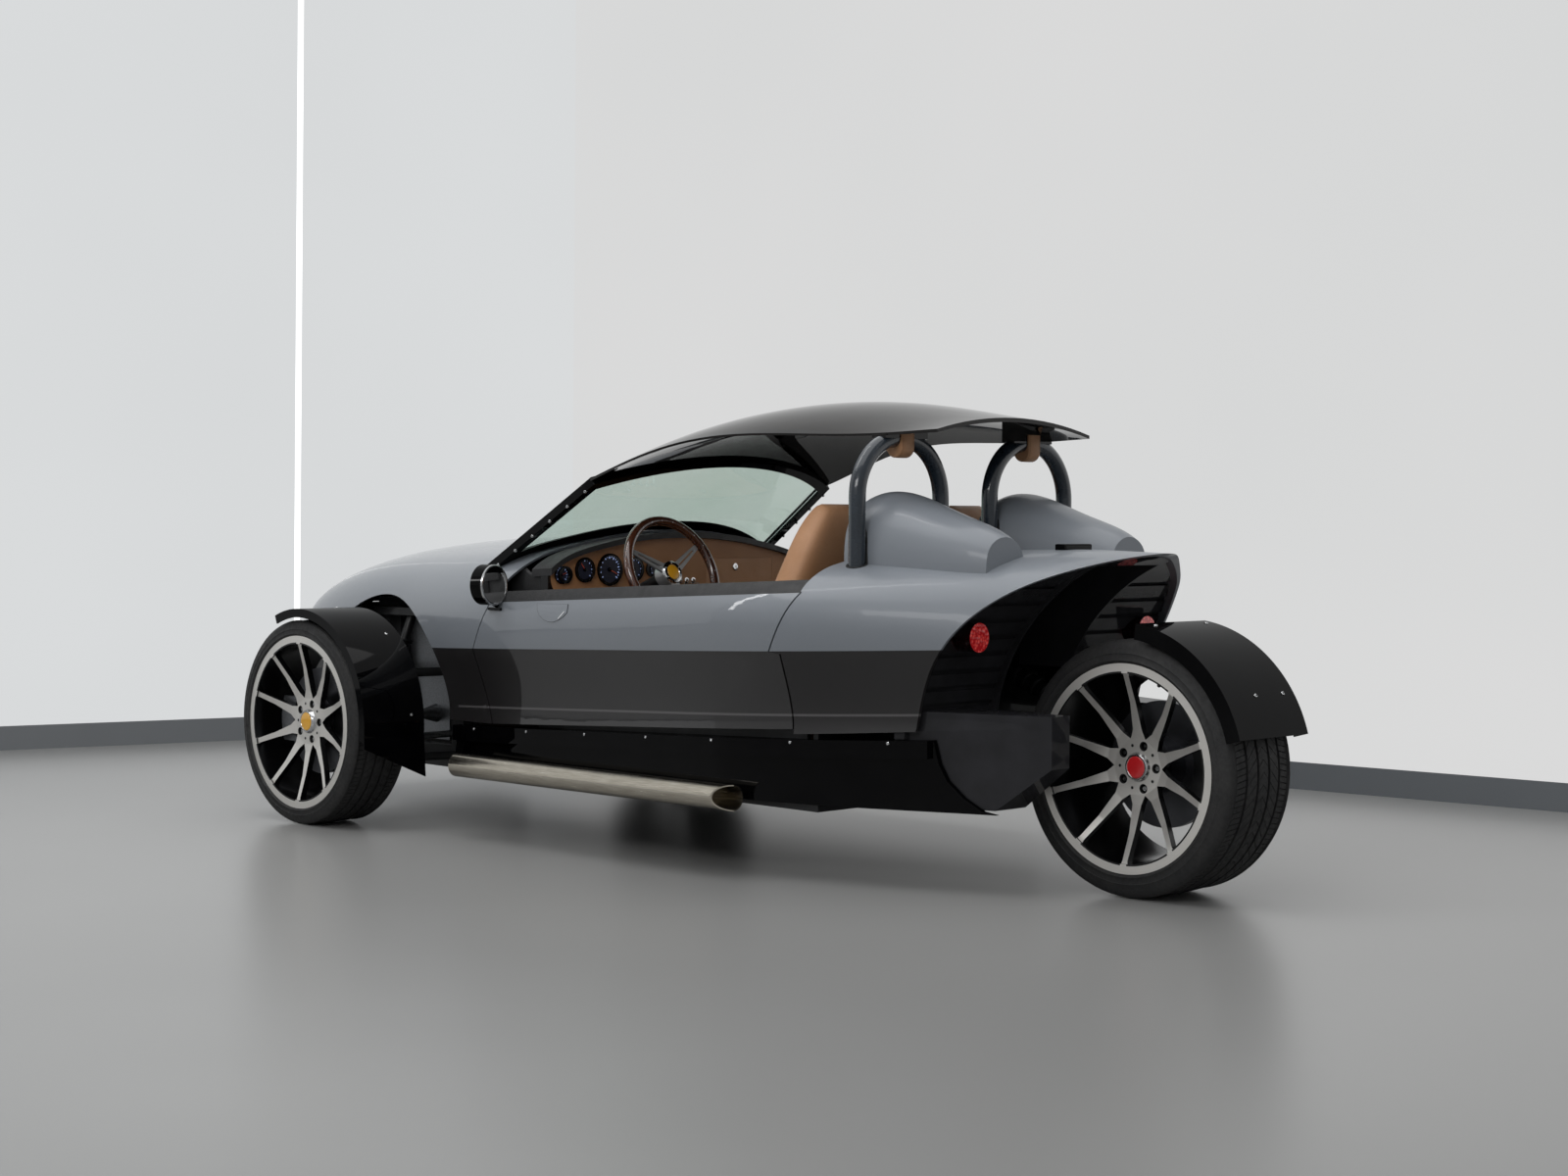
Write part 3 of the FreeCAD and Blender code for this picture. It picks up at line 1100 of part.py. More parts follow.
def rocker():
    """Left gloss side skirt: it follows the body's plan, with a proud band along its top."""
    top = [(along(d.rocker_front), d.rocker_top_front), (along(d.rocker_rear), d.rocker_top_rear)]
    run, drop = d.rocker_heel - d.rocker_rear, d.rocker_top_rear - d.rocker_heel_height
    foot = [(along(d.rocker_rear + run * run_share), d.rocker_top_rear - drop * drop_share)
            for run_share, drop_share in rocker_sweep_shares]
    foot.append((along(d.rocker_front) - d.rocker_step, d.rocker_bottom))
    deep = mm(d.rocker_top_rear - d.fascia_foot + d.rocker_band)
    whole = body_form(mm(d.rocker_bulge - d.rocker_step), deep).common(side_prism(top + foot, 0, far_out))
    band_zone = side_prism(top + [(y, z - d.rocker_band) for y, z in top[::-1]], 0, far_out)
    skirt = fuse([whole, body_form(mm(d.rocker_bulge), deep).common(band_zone)])
    inside = body_form(mm(d.rocker_bulge - d.rocker_step - d.rocker_wall), deep * 2)
    skirt = skirt.cut(inside.common(box((0, far_out), (behind_cabin, far_back), (0, d.body_height))))
    return skirt.cut(box((0, d.sill_outer + d.running_gap), (far_front, behind_cabin), (0, d.body_height)))


rocker_sweep_shares = ((0.09, 0.33), (0.22, 0.56), (0.48, 0.79), (0.78, 0.96), (1.00, 1.00))
shape_part("rocker_panels", both_sides(rocker()))


def side_pipe():
    """Left stainless pipe with a slash cut tip and two hangers that reach the rocker's face."""
    x = d.pipe_side
    a = (x, along(d.pipe_front), d.pipe_height)
    b = (x, along(d.pipe_front + d.pipe_length), d.pipe_height + d.pipe_rise)
    mouth = [(x, b[1] + sign * d.pipe_mouth, b[2]) for sign in (-1, 1)]
    tube = rod(a, b, d.pipe_radius).cut(rod(mouth[0], mouth[1], d.pipe_radius - d.pipe_wall))
    slash = box((-d.pipe_mouth, d.pipe_mouth), (0, d.pipe_mouth), (-d.pipe_mouth, d.pipe_mouth))
    slash.rotate(Vector(), AXES["Z"], -pipe_slash_turn)
    slash.translate(Vector(*map(mm, b)))
    hangers = []
    for share in hanger_shares:
        y, z = along(d.pipe_front + d.pipe_length * share), d.pipe_height + d.pipe_rise * share
        hangers.append(box((d.sill_outer, x), (y, y + d.stay_width), (z, z + d.pipe_radius / 2)))
    clear_form = body_form(mm(d.rocker_bulge - d.rocker_step + d.running_gap), mm(d.rocker_top_rear))
    hangers = [bar.cut(clear_form) for bar in hangers]
    return fuse([tube.cut(slash)] + hangers)


hanger_shares, pipe_slash_turn = (0.12, 0.72), 58
shape_part("side_pipes", both_sides(side_pipe()))

# Nose: headlamps, grille and lower bumper
lamp_y = along(-d.nose_reach + d.head_lamp_set_back)
lamp_front = (d.head_lamp_side, lamp_y, d.head_lamp_height)
head_lamp = lamp_barrel(d.head_lamp_radius - d.running_gap, lamp_y, lamp_y + d.head_lamp_depth)
bowl = Part.makeSphere(mm(d.head_lamp_bowl), Vector(*map(mm, lamp_front)))
head_lamp = head_lamp.cut(bowl).fuse(lamp_barrel(d.head_lamp_bezel, lamp_y,
                                                 lamp_y + d.head_lamp_depth / 2 + d.head_lamp_bezel))
shape_part("headlamps", both_sides(head_lamp.removeSplitter()))

grille_slot_share, grille_slots = 0.62, 8
grille_skin = seat_form.cut(body_form(-mm(d.skin + d.grille_depth) - gap))
grille_plate = grille_skin.common(front_prism(
    grille_outline(d.grille_flange), far_front, along(-d.nose_reach / 2)))
slot_sides = ((-d.grille_half_width * grille_slot_share, -d.grille_bar / 2),
              (d.grille_bar / 2, d.grille_half_width * grille_slot_share))
slots = [box(slot_x, (far_front, front_axle), (z,
                                               z + d.grille_pitch - d.grille_bar)) for slot_x in slot_sides
         for z in (d.grille_bottom + d.grille_bar + d.grille_pitch * level for level in range(grille_slots))]
shape_part("grille", solids(grille_plate.cut(Part.makeCompound(slots))))


def bumper():
    """Lower black nose: a channel below the body with an intake, and a thin splitter under it."""
    y = (along(-d.bumper_reach), along(-d.frame_reach) - d.running_gap)
    shell = box((-d.bumper_half_width, d.bumper_half_width), y,
                (d.bumper_bottom, d.bumper_top - d.running_gap))
    corners = [edge for edge in shell.Edges if abs(edge.Vertexes[0].Z - edge.Vertexes[1].Z) > 1
               and abs(edge.Vertexes[0].Y - mm(y[0])) < 1]
    shell = shell.makeFillet(mm(d.bumper_corner), corners)
    inside = box((-d.bumper_half_width + d.bumper_wall, d.bumper_half_width - d.bumper_wall),
                 (y[0] + d.bumper_wall, far_back),
                 (d.bumper_bottom + d.bumper_wall, d.bumper_top - d.bumper_wall))
    intake = box((-d.intake_half_width, d.intake_half_width), (far_front, far_back),
                 (d.bumper_bottom + d.intake_margin, d.bumper_top - d.intake_margin))
    splitter = box((-d.bumper_half_width, d.bumper_half_width), (along(-d.splitter_reach), y[1]),
                   (d.bumper_bottom - d.bumper_wall, d.bumper_bottom))
    return fuse([shell.cut(inside).cut(intake), splitter])


shape_part("front_bumper", bumper())

# Tail: ribbed fascia with the wheel tunnel's walls, lamps
under_skin = body_form(-mm(d.skin) - gap, mm(d.sill_rear - d.fascia_foot + d.cut_overrun))
above_foot = box((-far_out, far_out), (far_front, far_back), (d.fascia_foot, far_up))
fascia_back, fascia_front = mm(d.fascia_inset), mm(d.fascia_inset + d.fascia_thickness)
fascia_zone = under_skin.cut(behind_tail(fascia_back)).common(behind_tail(fascia_front))
pod_front = along(d.swing_pivot + d.rear_frame_bar) + d.running_gap
pod_zone = side_prism([(pod_front, d.fascia_foot), (pod_front, d.pod_top), (along(d.pod_reach), d.pod_top),
                       (along(d.pod_reach), d.pod_heel), (along(d.pod_toe), d.fascia_foot)], d.pod_inner,
                      far_out)
behind_rocker = body_form(-mm(d.rocker_step + d.rocker_wall + d.panel_gap - d.rocker_bulge),
                          mm(d.sill_rear - d.fascia_foot + d.cut_overrun))
pod = behind_rocker.common(pod_zone)
tunnel_outer = box((-d.tunnel_half_width - d.tunnel_wall, d.tunnel_half_width + d.tunnel_wall),
                   (along(d.tunnel_front), far_back), (d.floor_height, d.tail_tip_height))
beside_rocker = box((-far_out, far_out), (far_front, far_back), (0, d.rocker_top_rear)).cut(behind_rocker)
fascia = fuse([fascia_zone.common(above_foot).cut(beside_rocker)] + both_sides(pod).Solids).cut(tunnel_outer)


def tail_lamp(radius, front, back):
    y = along(d.wheelbase - d.tail_lamp_reach)
    return rod((d.tail_lamp_side, y - front, d.tail_lamp_centre),
               (d.tail_lamp_side, y + back, d.tail_lamp_centre), radius)


fascia = fascia.cut(both_sides(tail_lamp(d.tail_lamp_radius + d.running_gap, d.tail_lamp_depth,
                                         d.cut_overrun)))
groove_count = 8
for level in range(groove_count):
    z = d.groove_low + d.groove_pitch * level
    slot = box((-far_out, far_out), (along(d.tunnel_front), far_back), (z, z + d.groove_width))
    fascia = fascia.cut(slot.common(behind_tail(mm(d.fascia_inset + d.groove_depth))))
tunnel_wall = tunnel_outer.cut(tunnel).common(under_skin).common(above_foot)
tunnel_wall = tunnel_wall.cut(behind_tail(fascia_back / 2))
tunnel_wall = tunnel_wall.cut(rod((-far_out, along(d.swing_pivot), d.rear_tyre_radius),
                                  (far_out, along(d.swing_pivot), d.rear_tyre_radius),
                                  d.swing_tube_radius + d.panel_gap))
arm_opening = box((-d.swing_beam_side - d.swing_beam_width / 2 - d.panel_gap * 2, -d.tunnel_half_width),
                  (along(d.tunnel_front), far_back), (0, d.shock_head_height))
shape_part("tail_fascia", solids(fuse(fascia.Solids + tunnel_wall.Solids).cut(arm_opening)))
shape_part("tail_lamps", both_sides(tail_lamp(d.tail_lamp_radius, d.tail_lamp_depth - d.running_gap,
                                              -d.running_gap)))

# Single sided swing arm on the right of the rear wheel, and the fender it carries
rear_z = d.rear_tyre_radius
beam_x = (-d.swing_beam_side - d.swing_beam_width / 2, -d.swing_beam_side + d.swing_beam_width / 2)


def swing_arm():
    pivot = along(d.swing_pivot)
    cross = rod((-d.rear_frame_half + d.running_gap, pivot, rear_z),
                (d.rear_frame_half - d.running_gap, pivot, rear_z),
                d.swing_tube_radius)
    beam = side_prism([(pivot - d.swing_tube_radius, rear_z - d.swing_beam_height / 2),
                       (pivot - d.swing_tube_radius, rear_z + d.swing_beam_height / 2),
                       (pivot + d.swing_beam_height, rear_z + d.swing_beam_height / 2),
                       (rear_axle, rear_z + d.rear_hub_radius), (rear_axle, rear_z - d.rear_hub_radius)],
                      beam_x[0], beam_x[1])
    end = rod((beam_x[0], rear_axle, rear_z), (-d.rear_disc_offset - d.panel_gap, rear_axle, rear_z),
              d.rear_hub_radius)
    face = d.rear_rim_width / 2 - d.rear_face_recess
    spindle = rod((beam_x[0], rear_axle, rear_z), (face - d.cap_floor - d.running_gap, rear_axle, rear_z),
                  d.spindle_radius)
    clamp = caliper(-d.rear_disc_offset, rear_z, rear_axle, 1)
    bracket = box((-d.rear_disc_offset - d.caliper_side, -d.rear_disc_offset - d.panel_gap),
                  (rear_axle, rear_axle + d.disc_radius), (rear_z - d.stay_width, rear_z + d.stay_width))
    return fuse([cross, beam, end, spindle, clamp, bracket])


shape_part("swing_arm", swing_arm())


def rear_fender():
    """Short fender over the rear tyre's top and back, on a plate from the swing arm's hub end."""
    ring = wrap_ring(d.rear_tyre_radius + d.rear_fender_clearance, -d.rear_fender_half_width,
                     d.rear_fender_half_width,
                     d.fender_thickness, d.rear_fender_lip, rear_axle, rear_z, rear_fender_start,
                     rear_fender_sweep)
    plate = box((-d.rear_fender_half_width, -d.rear_fender_half_width + d.fender_thickness),
                (-d.stay_width * 2, d.stay_width * 2), (0, d.rear_tyre_radius + d.rear_fender_clearance))
    plate.rotate(Vector(), AXES["X"], rear_fender_start + rear_fender_sweep / 2)
    plate.translate(Vector(0, mm(rear_axle), mm(rear_z)))
    hub = rod((-d.rear_fender_half_width, rear_axle, rear_z),
              (-d.rear_fender_half_width + d.fender_thickness, rear_axle, rear_z),
              d.rear_hub_radius + d.stay_width)
    hole = rod((beam_x[0], rear_axle, rear_z), (0, rear_axle, rear_z), d.rear_hub_radius + d.running_gap)
    return fuse([ring, plate, hub]).cut(hole)


shape_part("rear_fender", rear_fender())

# Checks and files
doc.recompute()
for obj in doc.Objects:
    if "Invalid" in obj.State or "Error" in obj.State:
        raise RuntimeError("failed: %s %s" % (obj.Label, obj.State))
for node, obj in made.items():
    if obj.Shape.isNull() or not obj.Shape.isValid():
        raise RuntimeError("bad shape: " + node)
os.makedirs("parts", exist_ok=True)
for node, obj in made.items():
    obj.Shape.exportStep(os.path.join("parts", node + ".step"))
    print(node, len(obj.Shape.Solids), round(obj.Shape.Volume / 1e6, 3))
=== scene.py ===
import math
import bpy
import bmesh
from mathutils import Matrix, Vector


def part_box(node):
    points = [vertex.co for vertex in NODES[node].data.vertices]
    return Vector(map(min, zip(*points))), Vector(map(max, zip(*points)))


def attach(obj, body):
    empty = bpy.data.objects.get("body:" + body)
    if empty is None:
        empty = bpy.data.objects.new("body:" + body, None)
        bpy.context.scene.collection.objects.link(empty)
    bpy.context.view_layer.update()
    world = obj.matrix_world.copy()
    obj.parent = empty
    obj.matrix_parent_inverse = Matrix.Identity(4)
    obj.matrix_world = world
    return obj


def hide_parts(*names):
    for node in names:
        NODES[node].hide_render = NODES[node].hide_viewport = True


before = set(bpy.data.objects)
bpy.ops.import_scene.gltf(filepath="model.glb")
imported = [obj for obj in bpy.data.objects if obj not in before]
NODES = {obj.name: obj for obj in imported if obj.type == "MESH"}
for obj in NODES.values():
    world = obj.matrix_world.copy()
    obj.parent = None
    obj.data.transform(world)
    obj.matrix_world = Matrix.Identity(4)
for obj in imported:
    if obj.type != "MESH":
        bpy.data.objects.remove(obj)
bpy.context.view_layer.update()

# Driving sizes and places in metres, X to the car's left, Y to its rear and Z up
FRONT_AXLE, REAR_AXLE = -1.15187, 1.49013
FRONT_RADIUS, REAR_RADIUS = 0.3185, 0.3315
WHEEL_X, SEAT_X = 0.763, 0.268
CENTRES = {
    "front_left": (WHEEL_X, FRONT_AXLE, FRONT_RADIUS),
    "front_right": (-WHEEL_X, FRONT_AXLE, FRONT_RADIUS),
    "rear": (0.0, REAR_AXLE, REAR_RADIUS),
}
SIDES = ((1, "left"), (-1, "right"))


def y(place):
    """Model place along the car of a length measured from the front axle."""
    return place + FRONT_AXLE


HAND_WHEEL = (0.28, y(1.09), 0.8)
HOOP_Y, HOOP_FEET = y(1.989), (0.437, 0.104, -0.437, -0.104)
FENDER_Y = y(0.022)
# An X clear of the body, from which rays look inward
OUTSIDE = 1.2


# Materials
class Mat:
    """A node material on one Principled shader."""

    def __init__(self, name, colour, rough, metal=0.0, **sockets):
        self.mat = bpy.data.materials.new(name)
        self.mat.use_nodes = True
        self.nt = self.mat.node_tree
        self.bsdf = self.nt.nodes["Principled BSDF"]
        self.set("Base Color", (*rgb(colour), 1))
        self.set("Roughness", rough)
        self.set("Metallic", metal)
        for key, value in sockets.items():
            self.set(key.replace("_", " "), value)
        self.coord = self.nt.nodes.new("ShaderNodeTexCoord")

    def set(self, socket, value):
        self.bsdf.inputs[socket].default_value = value

    def node(self, kind, **values):
        n = self.nt.nodes.new("ShaderNode" + kind)
        for key, value in values.items():
            if hasattr(n, key):
                setattr(n, key, value)
            else:
                n.inputs[key.replace("_", " ")].default_value = value
        return n

    def link(self, a, b):
        self.nt.links.new(a, b)

    def place(self, scale=(1, 1, 1)):
        """Object place, stretched."""
        m = self.node("Mapping")
        m.inputs["Scale"].default_value = scale
        self.link(self.coord.outputs["Object"], m.inputs["Vector"])
        return m.outputs["Vector"]

    def offset(self, centre, keep):
        """Object place from centre with the axes that keep names, and its length."""
        flat = self.node("VectorMath", operation="SUBTRACT")
        self.link(self.coord.outputs["Object"], flat.inputs[0])
        flat.inputs[1].default_value = centre
        kept = self.node("VectorMath", operation="MULTIPLY")
        self.link(flat.outputs[0], kept.inputs[0])
        kept.inputs[1].default_value = keep
        length = self.node("VectorMath", operation="LENGTH")
        self.link(kept.outputs[0], length.inputs[0])
        return kept.outputs[0], length.outputs["Value"]

    def noise(self, size, detail=3.0, rough=0.5, stretch=(1, 1, 1)):
        """Cloudy noise with spots of that size in metres."""
        n = self.node("TexNoise", Scale=1 / size, Detail=detail, Roughness=rough)
        self.link(self.place(stretch), n.inputs["Vector"])
        return n.outputs["Fac"]

    def cells(self, size, feature="F1"):
        """Distances in a pattern of cells of that size in metres."""
        n = self.node("TexVoronoi", feature=feature, Scale=1 / size)
        self.link(self.place(), n.inputs["Vector"])
        return n.outputs["Distance"]

    def spread(self, fac, low, high, low_out=0.0, high_out=1.0):
        """Maps low to low_out and high to high_out, and stops there."""
        n = self.node("MapRange")
        ends = (("From Min", low), ("From Max", high), ("To Min", low_out), ("To Max", high_out))
        for key, value in ends:
            n.inputs[key].default_value = value
        self.link(fac, n.inputs["Value"])
        return n.outputs["Result"]

    def math(self, op, a, b=0.0):
        n = self.node("Math", operation=op)
        for i, v in enumerate((a, b)):
            if isinstance(v, (int, float)):
                n.inputs[i].default_value = v
            else:
                self.link(v, n.inputs[i])
        return n.outputs[0]

    def mix(self, fac, a, b):
        """Colour a where fac is 0, b where it is 1; each a hex colour or a socket."""
        n = self.node("Mix", data_type="RGBA")
        self.link(fac, n.inputs[0])
        for i, v in ((6, a), (7, b)):
            if isinstance(v, str):
                n.inputs[i].default_value = (*rgb(v), 1)
            else:
                self.link(v, n.inputs[i])
        return n.outputs[2]

    def colour(self, socket):
        self.link(socket, self.bsdf.inputs["Base Color"])

    def rough(self, fac, low, high):
        """Roughness that wanders between low and high."""
        self.link(self.spread(fac, 0.25, 0.75, low, high), self.bsdf.inputs["Roughness"])

    def bump(self, height, strength, distance):
        """Adds a bump on top of those already there."""
        n = self.node("Bump", Strength=strength, Distance=distance)
        self.link(height, n.inputs["Height"])
        old = self.bsdf.inputs["Normal"]
        if old.links:
            self.link(old.links[0].from_socket, n.inputs["Normal"])
        self.link(n.outputs["Normal"], old)

    def axis(self, number, output="Object"):
        """One axis of the object place, or of the normal."""
        s = self.node("SeparateXYZ")
        self.link(self.coord.outputs[output], s.inputs[0])
        return s.outputs[number]


def rgb(text):
    """Linear colour of an sRGB hex colour."""
    out = []
    for i in (1, 3, 5):
        v = int(text[i:i + 2], 16) / 255
        out.append(v / 12.92 if v <= 0.04045 else ((v + 0.055) / 1.055) ** 2.4)
    return out


def rising(m, place, start, slope, height):
    """Height of a line that rises along the car, and is at height at start."""
    return m.math("ADD", m.math("MULTIPLY", m.math("SUBTRACT", place, start), slope), height)


def body_paint(name, coat):
    """Mid grey above a rising line, charcoal below it, with a thin paler line low on the flank."""
    m = Mat(name, "#777c82", 0.42, 0.0, Coat_Weight=coat, Coat_Roughness=0.03, Coat_IOR=1.4)
    along, up = m.axis(1), m.axis(2)
    place = m.math("ADD", along, -FRONT_AXLE)
    # Start, slope and height of the charcoal's upper edge and of the paler line
    charcoal, paler = (0.32, 0.0381, 0.554), (0.618, 0.0444, 0.388)
    line_half, line_start = 0.0032, 0.44
    low = m.math("LESS_THAN", up, rising(m, place, *charcoal))
    line = rising(m, place, *paler)
    near = m.math("LESS_THAN", m.math("ABSOLUTE", m.math("SUBTRACT", up, line)), line_half)
    span = m.math("MULTIPLY", m.math("GREATER_THAN", place, line_start), near)
    flake = m.spread(m.noise(0.0012, 2), 0.3, 0.7)
    cloud = m.noise(0.5, 2)
    grey = m.mix(m.math("MULTIPLY", flake, 0.25), m.mix(cloud, "#74797f", "#7b8087"), "#858b92")
    dark = m.mix(m.math("MULTIPLY", flake, 0.2), "#151314", "#1e1c1d")
    m.colour(m.mix(span, m.mix(low, grey, dark), "#4d4b4c"))
    m.bump(m.noise(0.006, 1), 0.02, 0.0004)
    return m.mat


def gloss(name, colour, other, rough, coat=1.0, level=0.0):
    """Hard gloss paint or moulding with faint orange peel and dust."""
    m = Mat(name, colour, rough, 0.0, Coat_Weight=coat, Coat_Roughness=0.03, Coat_IOR=1.4,
            Specular_IOR_Level=level)
    m.colour(m.mix(m.spread(m.noise(0.09, 4), 0.35, 0.75), colour, other))
    m.rough(m.noise(0.05, 5), rough - 0.06, rough + 0.1)
    m.bump(m.noise(0.004, 2), 0.035, 0.0005)
    return m.mat


def leather(name, colour, other, deep):
    """Grained hide: small cells with darker creases between them, painted shade in the grain's hollows, and
    soft uneven tone.
    """
    rough, grain = 0.5, 0.0016
    m = Mat(name, colour, rough, 0.0, Sheen_Weight=0.15, Sheen_Roughness=0.4)
    # The creases between grain cells are darkened towards deep: painted shade in the hollows.
    crease = m.spread(m.cells(grain, "DISTANCE_TO_EDGE"), 0.0, 0.22)
    tone = m.mix(m.spread(m.noise(0.12, 4), 0.3, 0.7), colour, other)
    m.colour(m.mix(m.math("MULTIPLY", m.math("SUBTRACT", 1.0, crease), 0.55), tone, deep))
    m.rough(m.noise(0.03, 4), rough - 0.08, rough + 0.14)
    m.bump(crease, 0.35, 0.0004)
    m.bump(m.noise(0.02, 3), 0.2, 0.0012)
    return m.mat


def metal(name, colour, other, rough, stretch=(1, 1, 1), size=0.002):
    """Brushed or cast metal: noise stretched along the strokes."""
    m = Mat(name, colour, rough, 1.0)
    strokes = m.noise(size, 4, 0.6, stretch)
    m.colour(m.mix(m.spread(strokes, 0.3, 0.7), colour, other))
    m.rough(strokes, rough - 0.07, rough + 0.09)
    m.bump(strokes, 0.08, 0.0004)
    return m.mat


def rubber():
    """Matt tyre rubber with a little dust."""
    m = Mat("tyre_rubber", "#1b1b1c", 0.66, 0.0)
    dust = m.spread(m.noise(0.06, 5), 0.4, 0.8)
    m.colour(m.mix(m.math("MULTIPLY", dust, 0.6), "#19191a", "#2d2c2b"))
    m.rough(m.noise(0.01, 4), 0.55, 0.8)
    m.bump(m.noise(0.0015, 3), 0.25, 0.0004)
    return m.mat


def alloy(name, axle, face, bright):
    """Machined spoke faces, hub face and outer ring; gloss black sides, barrel and pockets."""
    lip, spoke_end, spoke_half, pitch = 0.2475, 0.2205, 0.0095, math.radians(36)
    m = Mat(name, "#0c0c0d", 0.2, 0.0)
    faces_out = m.math("GREATER_THAN", m.math("ABSOLUTE", m.axis(0, "Normal")), 0.86)
    out = m.math("GREATER_THAN", m.math("ABSOLUTE", m.axis(0)), face)
    flat, radius = m.offset(axle, (0, 1, 1))
    parts = m.node("SeparateXYZ")
    m.link(flat, parts.inputs[0])
    angle = m.math("ARCTAN2", parts.outputs[1], parts.outputs[2])
    across = m.math("PINGPONG", m.math("ADD", angle, 20 * pitch), pitch / 2)
    on_spoke = m.math("LESS_THAN", m.math("MULTIPLY", across, radius), spoke_half)
    on_lip = m.math("GREATER_THAN", radius, lip)
    seen = m.math("MAXIMUM", m.math("MAXIMUM", on_spoke, on_lip), m.math("LESS_THAN", radius, spoke_end))
    mask = m.math("MULTIPLY", m.math("MULTIPLY", faces_out, out), seen)
    rings = m.node("TexNoise", Scale=1400.0, Detail=2.0, noise_dimensions="1D")
    m.link(radius, rings.inputs["W"])
    tone = m.mix(rings.outputs["Fac"], "#c9c6c1", "#efece7")
    m.colour(m.mix(mask, m.mix(m.noise(0.05), "#060607", "#0d0d0e"), tone))
    m.link(m.math("MULTIPLY", mask, bright), m.bsdf.inputs["Metallic"])
    m.link(m.math("ADD", m.math("MULTIPLY", mask, 0.14), 0.2), m.bsdf.inputs["Roughness"])
    m.bump(rings.outputs["Fac"], 0.04, 0.0003)
    return m.mat


def brake_disc():
    """Dark turned iron."""
    m = Mat("brake_disc", "#55565a", 0.34, 1.0)
    strokes = m.noise(0.0012, 3, 0.6)
    m.colour(m.mix(strokes, "#3a3b3f", "#6d6e72"))
    m.rough(strokes, 0.26, 0.45)
    m.bump(strokes, 0.1, 0.0004)
    return m.mat


def glass():
    """Faintly green clear glass."""
    m = Mat("windscreen_glass", "#d7e8df", 0.02, 0.0, Transmission_Weight=1.0, IOR=1.45)
    m.colour(m.mix(m.spread(m.noise(0.4, 2), 0.3, 0.7), "#cfe3d8", "#dcebe3"))
    m.bump(m.noise(0.5, 1), 0.01, 0.001)
    return m.mat


def lamp_glass():
    """Clear glass with moulded cells."""
    m = Mat("lamp_glass", "#f2f4f5", 0.02, 0.0, Transmission_Weight=1.0, IOR=1.45)
    m.bump(m.cells(0.012), 0.2, 0.001)
    return m.mat


def lens():
    """Red lens that glows a little on its face, with dark sides."""
    m = Mat("red_lens", "#b00f18", 0.12, 0.0, Coat_Weight=1.0, Coat_Roughness=0.02)
    cells = m.cells(0.009)
    face = m.math("GREATER_THAN", m.math("ABSOLUTE", m.axis(1, "Normal")), 0.5)
    m.colour(m.mix(face, "#140304", m.mix(m.spread(cells, 0.1, 0.6), "#ff6a60", "#8a0810")))
    m.bump(cells, 0.6, 0.002)
    m.set("Emission Color", (*rgb("#e01a22"), 1))
    m.link(m.spread(face, 0.0, 1.0, 0.0, 0.15), m.bsdf.inputs["Emission Strength"])
    return m.mat


def wheel_wood(centre, rim_from):
    """Varnished wood on the rim, polished metal on the spokes and hub of the hand wheel."""
    m = Mat("hand_wheel", "#5a2f1a", 0.25, 0.0, Coat_Weight=1.0, Coat_Roughness=0.05)
    _, radius = m.offset(centre, (1, 1, 1))
    on_rim = m.math("GREATER_THAN", radius, rim_from)
    grain = m.node("TexWave", Scale=60.0, Distortion=6.0, Detail=3.0)
    m.link(m.place((1, 3, 3)), grain.inputs["Vector"])
    wood = m.mix(grain.outputs["Fac"], "#2e1710", "#58321f")
    m.colour(m.mix(on_rim, "#d8d9da", wood))
    m.link(m.math("MULTIPLY", m.math("SUBTRACT", 1.0, on_rim), 0.8), m.bsdf.inputs["Metallic"])
    m.link(m.math("SUBTRACT", 0.3, m.math("MULTIPLY", on_rim, 0.08)), m.bsdf.inputs["Roughness"])
    return m.mat


def dash_leather(bezel_from):
    """Tan hide on the dash. Its round ends, and the gauge rings that stand out of it, are gloss black."""
    end_from, arc_x, arc_z, arc_square = 0.5, 0.465, 0.785, 0.07 ** 2
    m = Mat("dash_hide", "#8d5a35", 0.5, 0.0)
    # The creases between grain cells are darkened: painted shade in the hollows.
    crease = m.spread(m.cells(0.0014, "DISTANCE_TO_EDGE"), 0.0, 0.22)
    tone = m.mix(m.spread(m.noise(0.15, 4), 0.3, 0.7), "#ab7a52", "#ba895f")
    hide = m.mix(m.math("MULTIPLY", m.math("SUBTRACT", 1.0, crease), 0.5), tone, "#7a5130")
    out = m.math("ABSOLUTE", m.axis(0))
    across = m.math("POWER", m.math("MAXIMUM", m.math("SUBTRACT", out, arc_x), 0.0), 2.0)
    up = m.math("POWER", m.math("ABSOLUTE", m.math("SUBTRACT", m.axis(2), arc_z)), 2.0)
    past = m.math("GREATER_THAN", m.math("ADD", across, up), arc_square)
    end = m.math("MULTIPLY", m.math("GREATER_THAN", out, end_from), past)
    black = m.math("MAXIMUM", end, m.math("GREATER_THAN", m.axis(1), bezel_from))
    m.colour(m.mix(black, hide, "#0b0b0c"))
    m.link(m.spread(black, 0.0, 1.0, 0.5, 0.14), m.bsdf.inputs["Roughness"])
    m.bump(m.math("MULTIPLY", crease, m.math("SUBTRACT", 1.0, black)), 0.3, 0.0004)
    return m.mat


def flat_finish(name, colour, other, rough, **sockets):
    """A small painted or moulded part."""
    m = Mat(name, colour, rough, 0.0, **sockets)
    m.colour(m.mix(m.noise(0.004, 3), colour, other))
    m.bump(m.noise(0.002, 2), 0.05, 0.0003)
    return m.mat


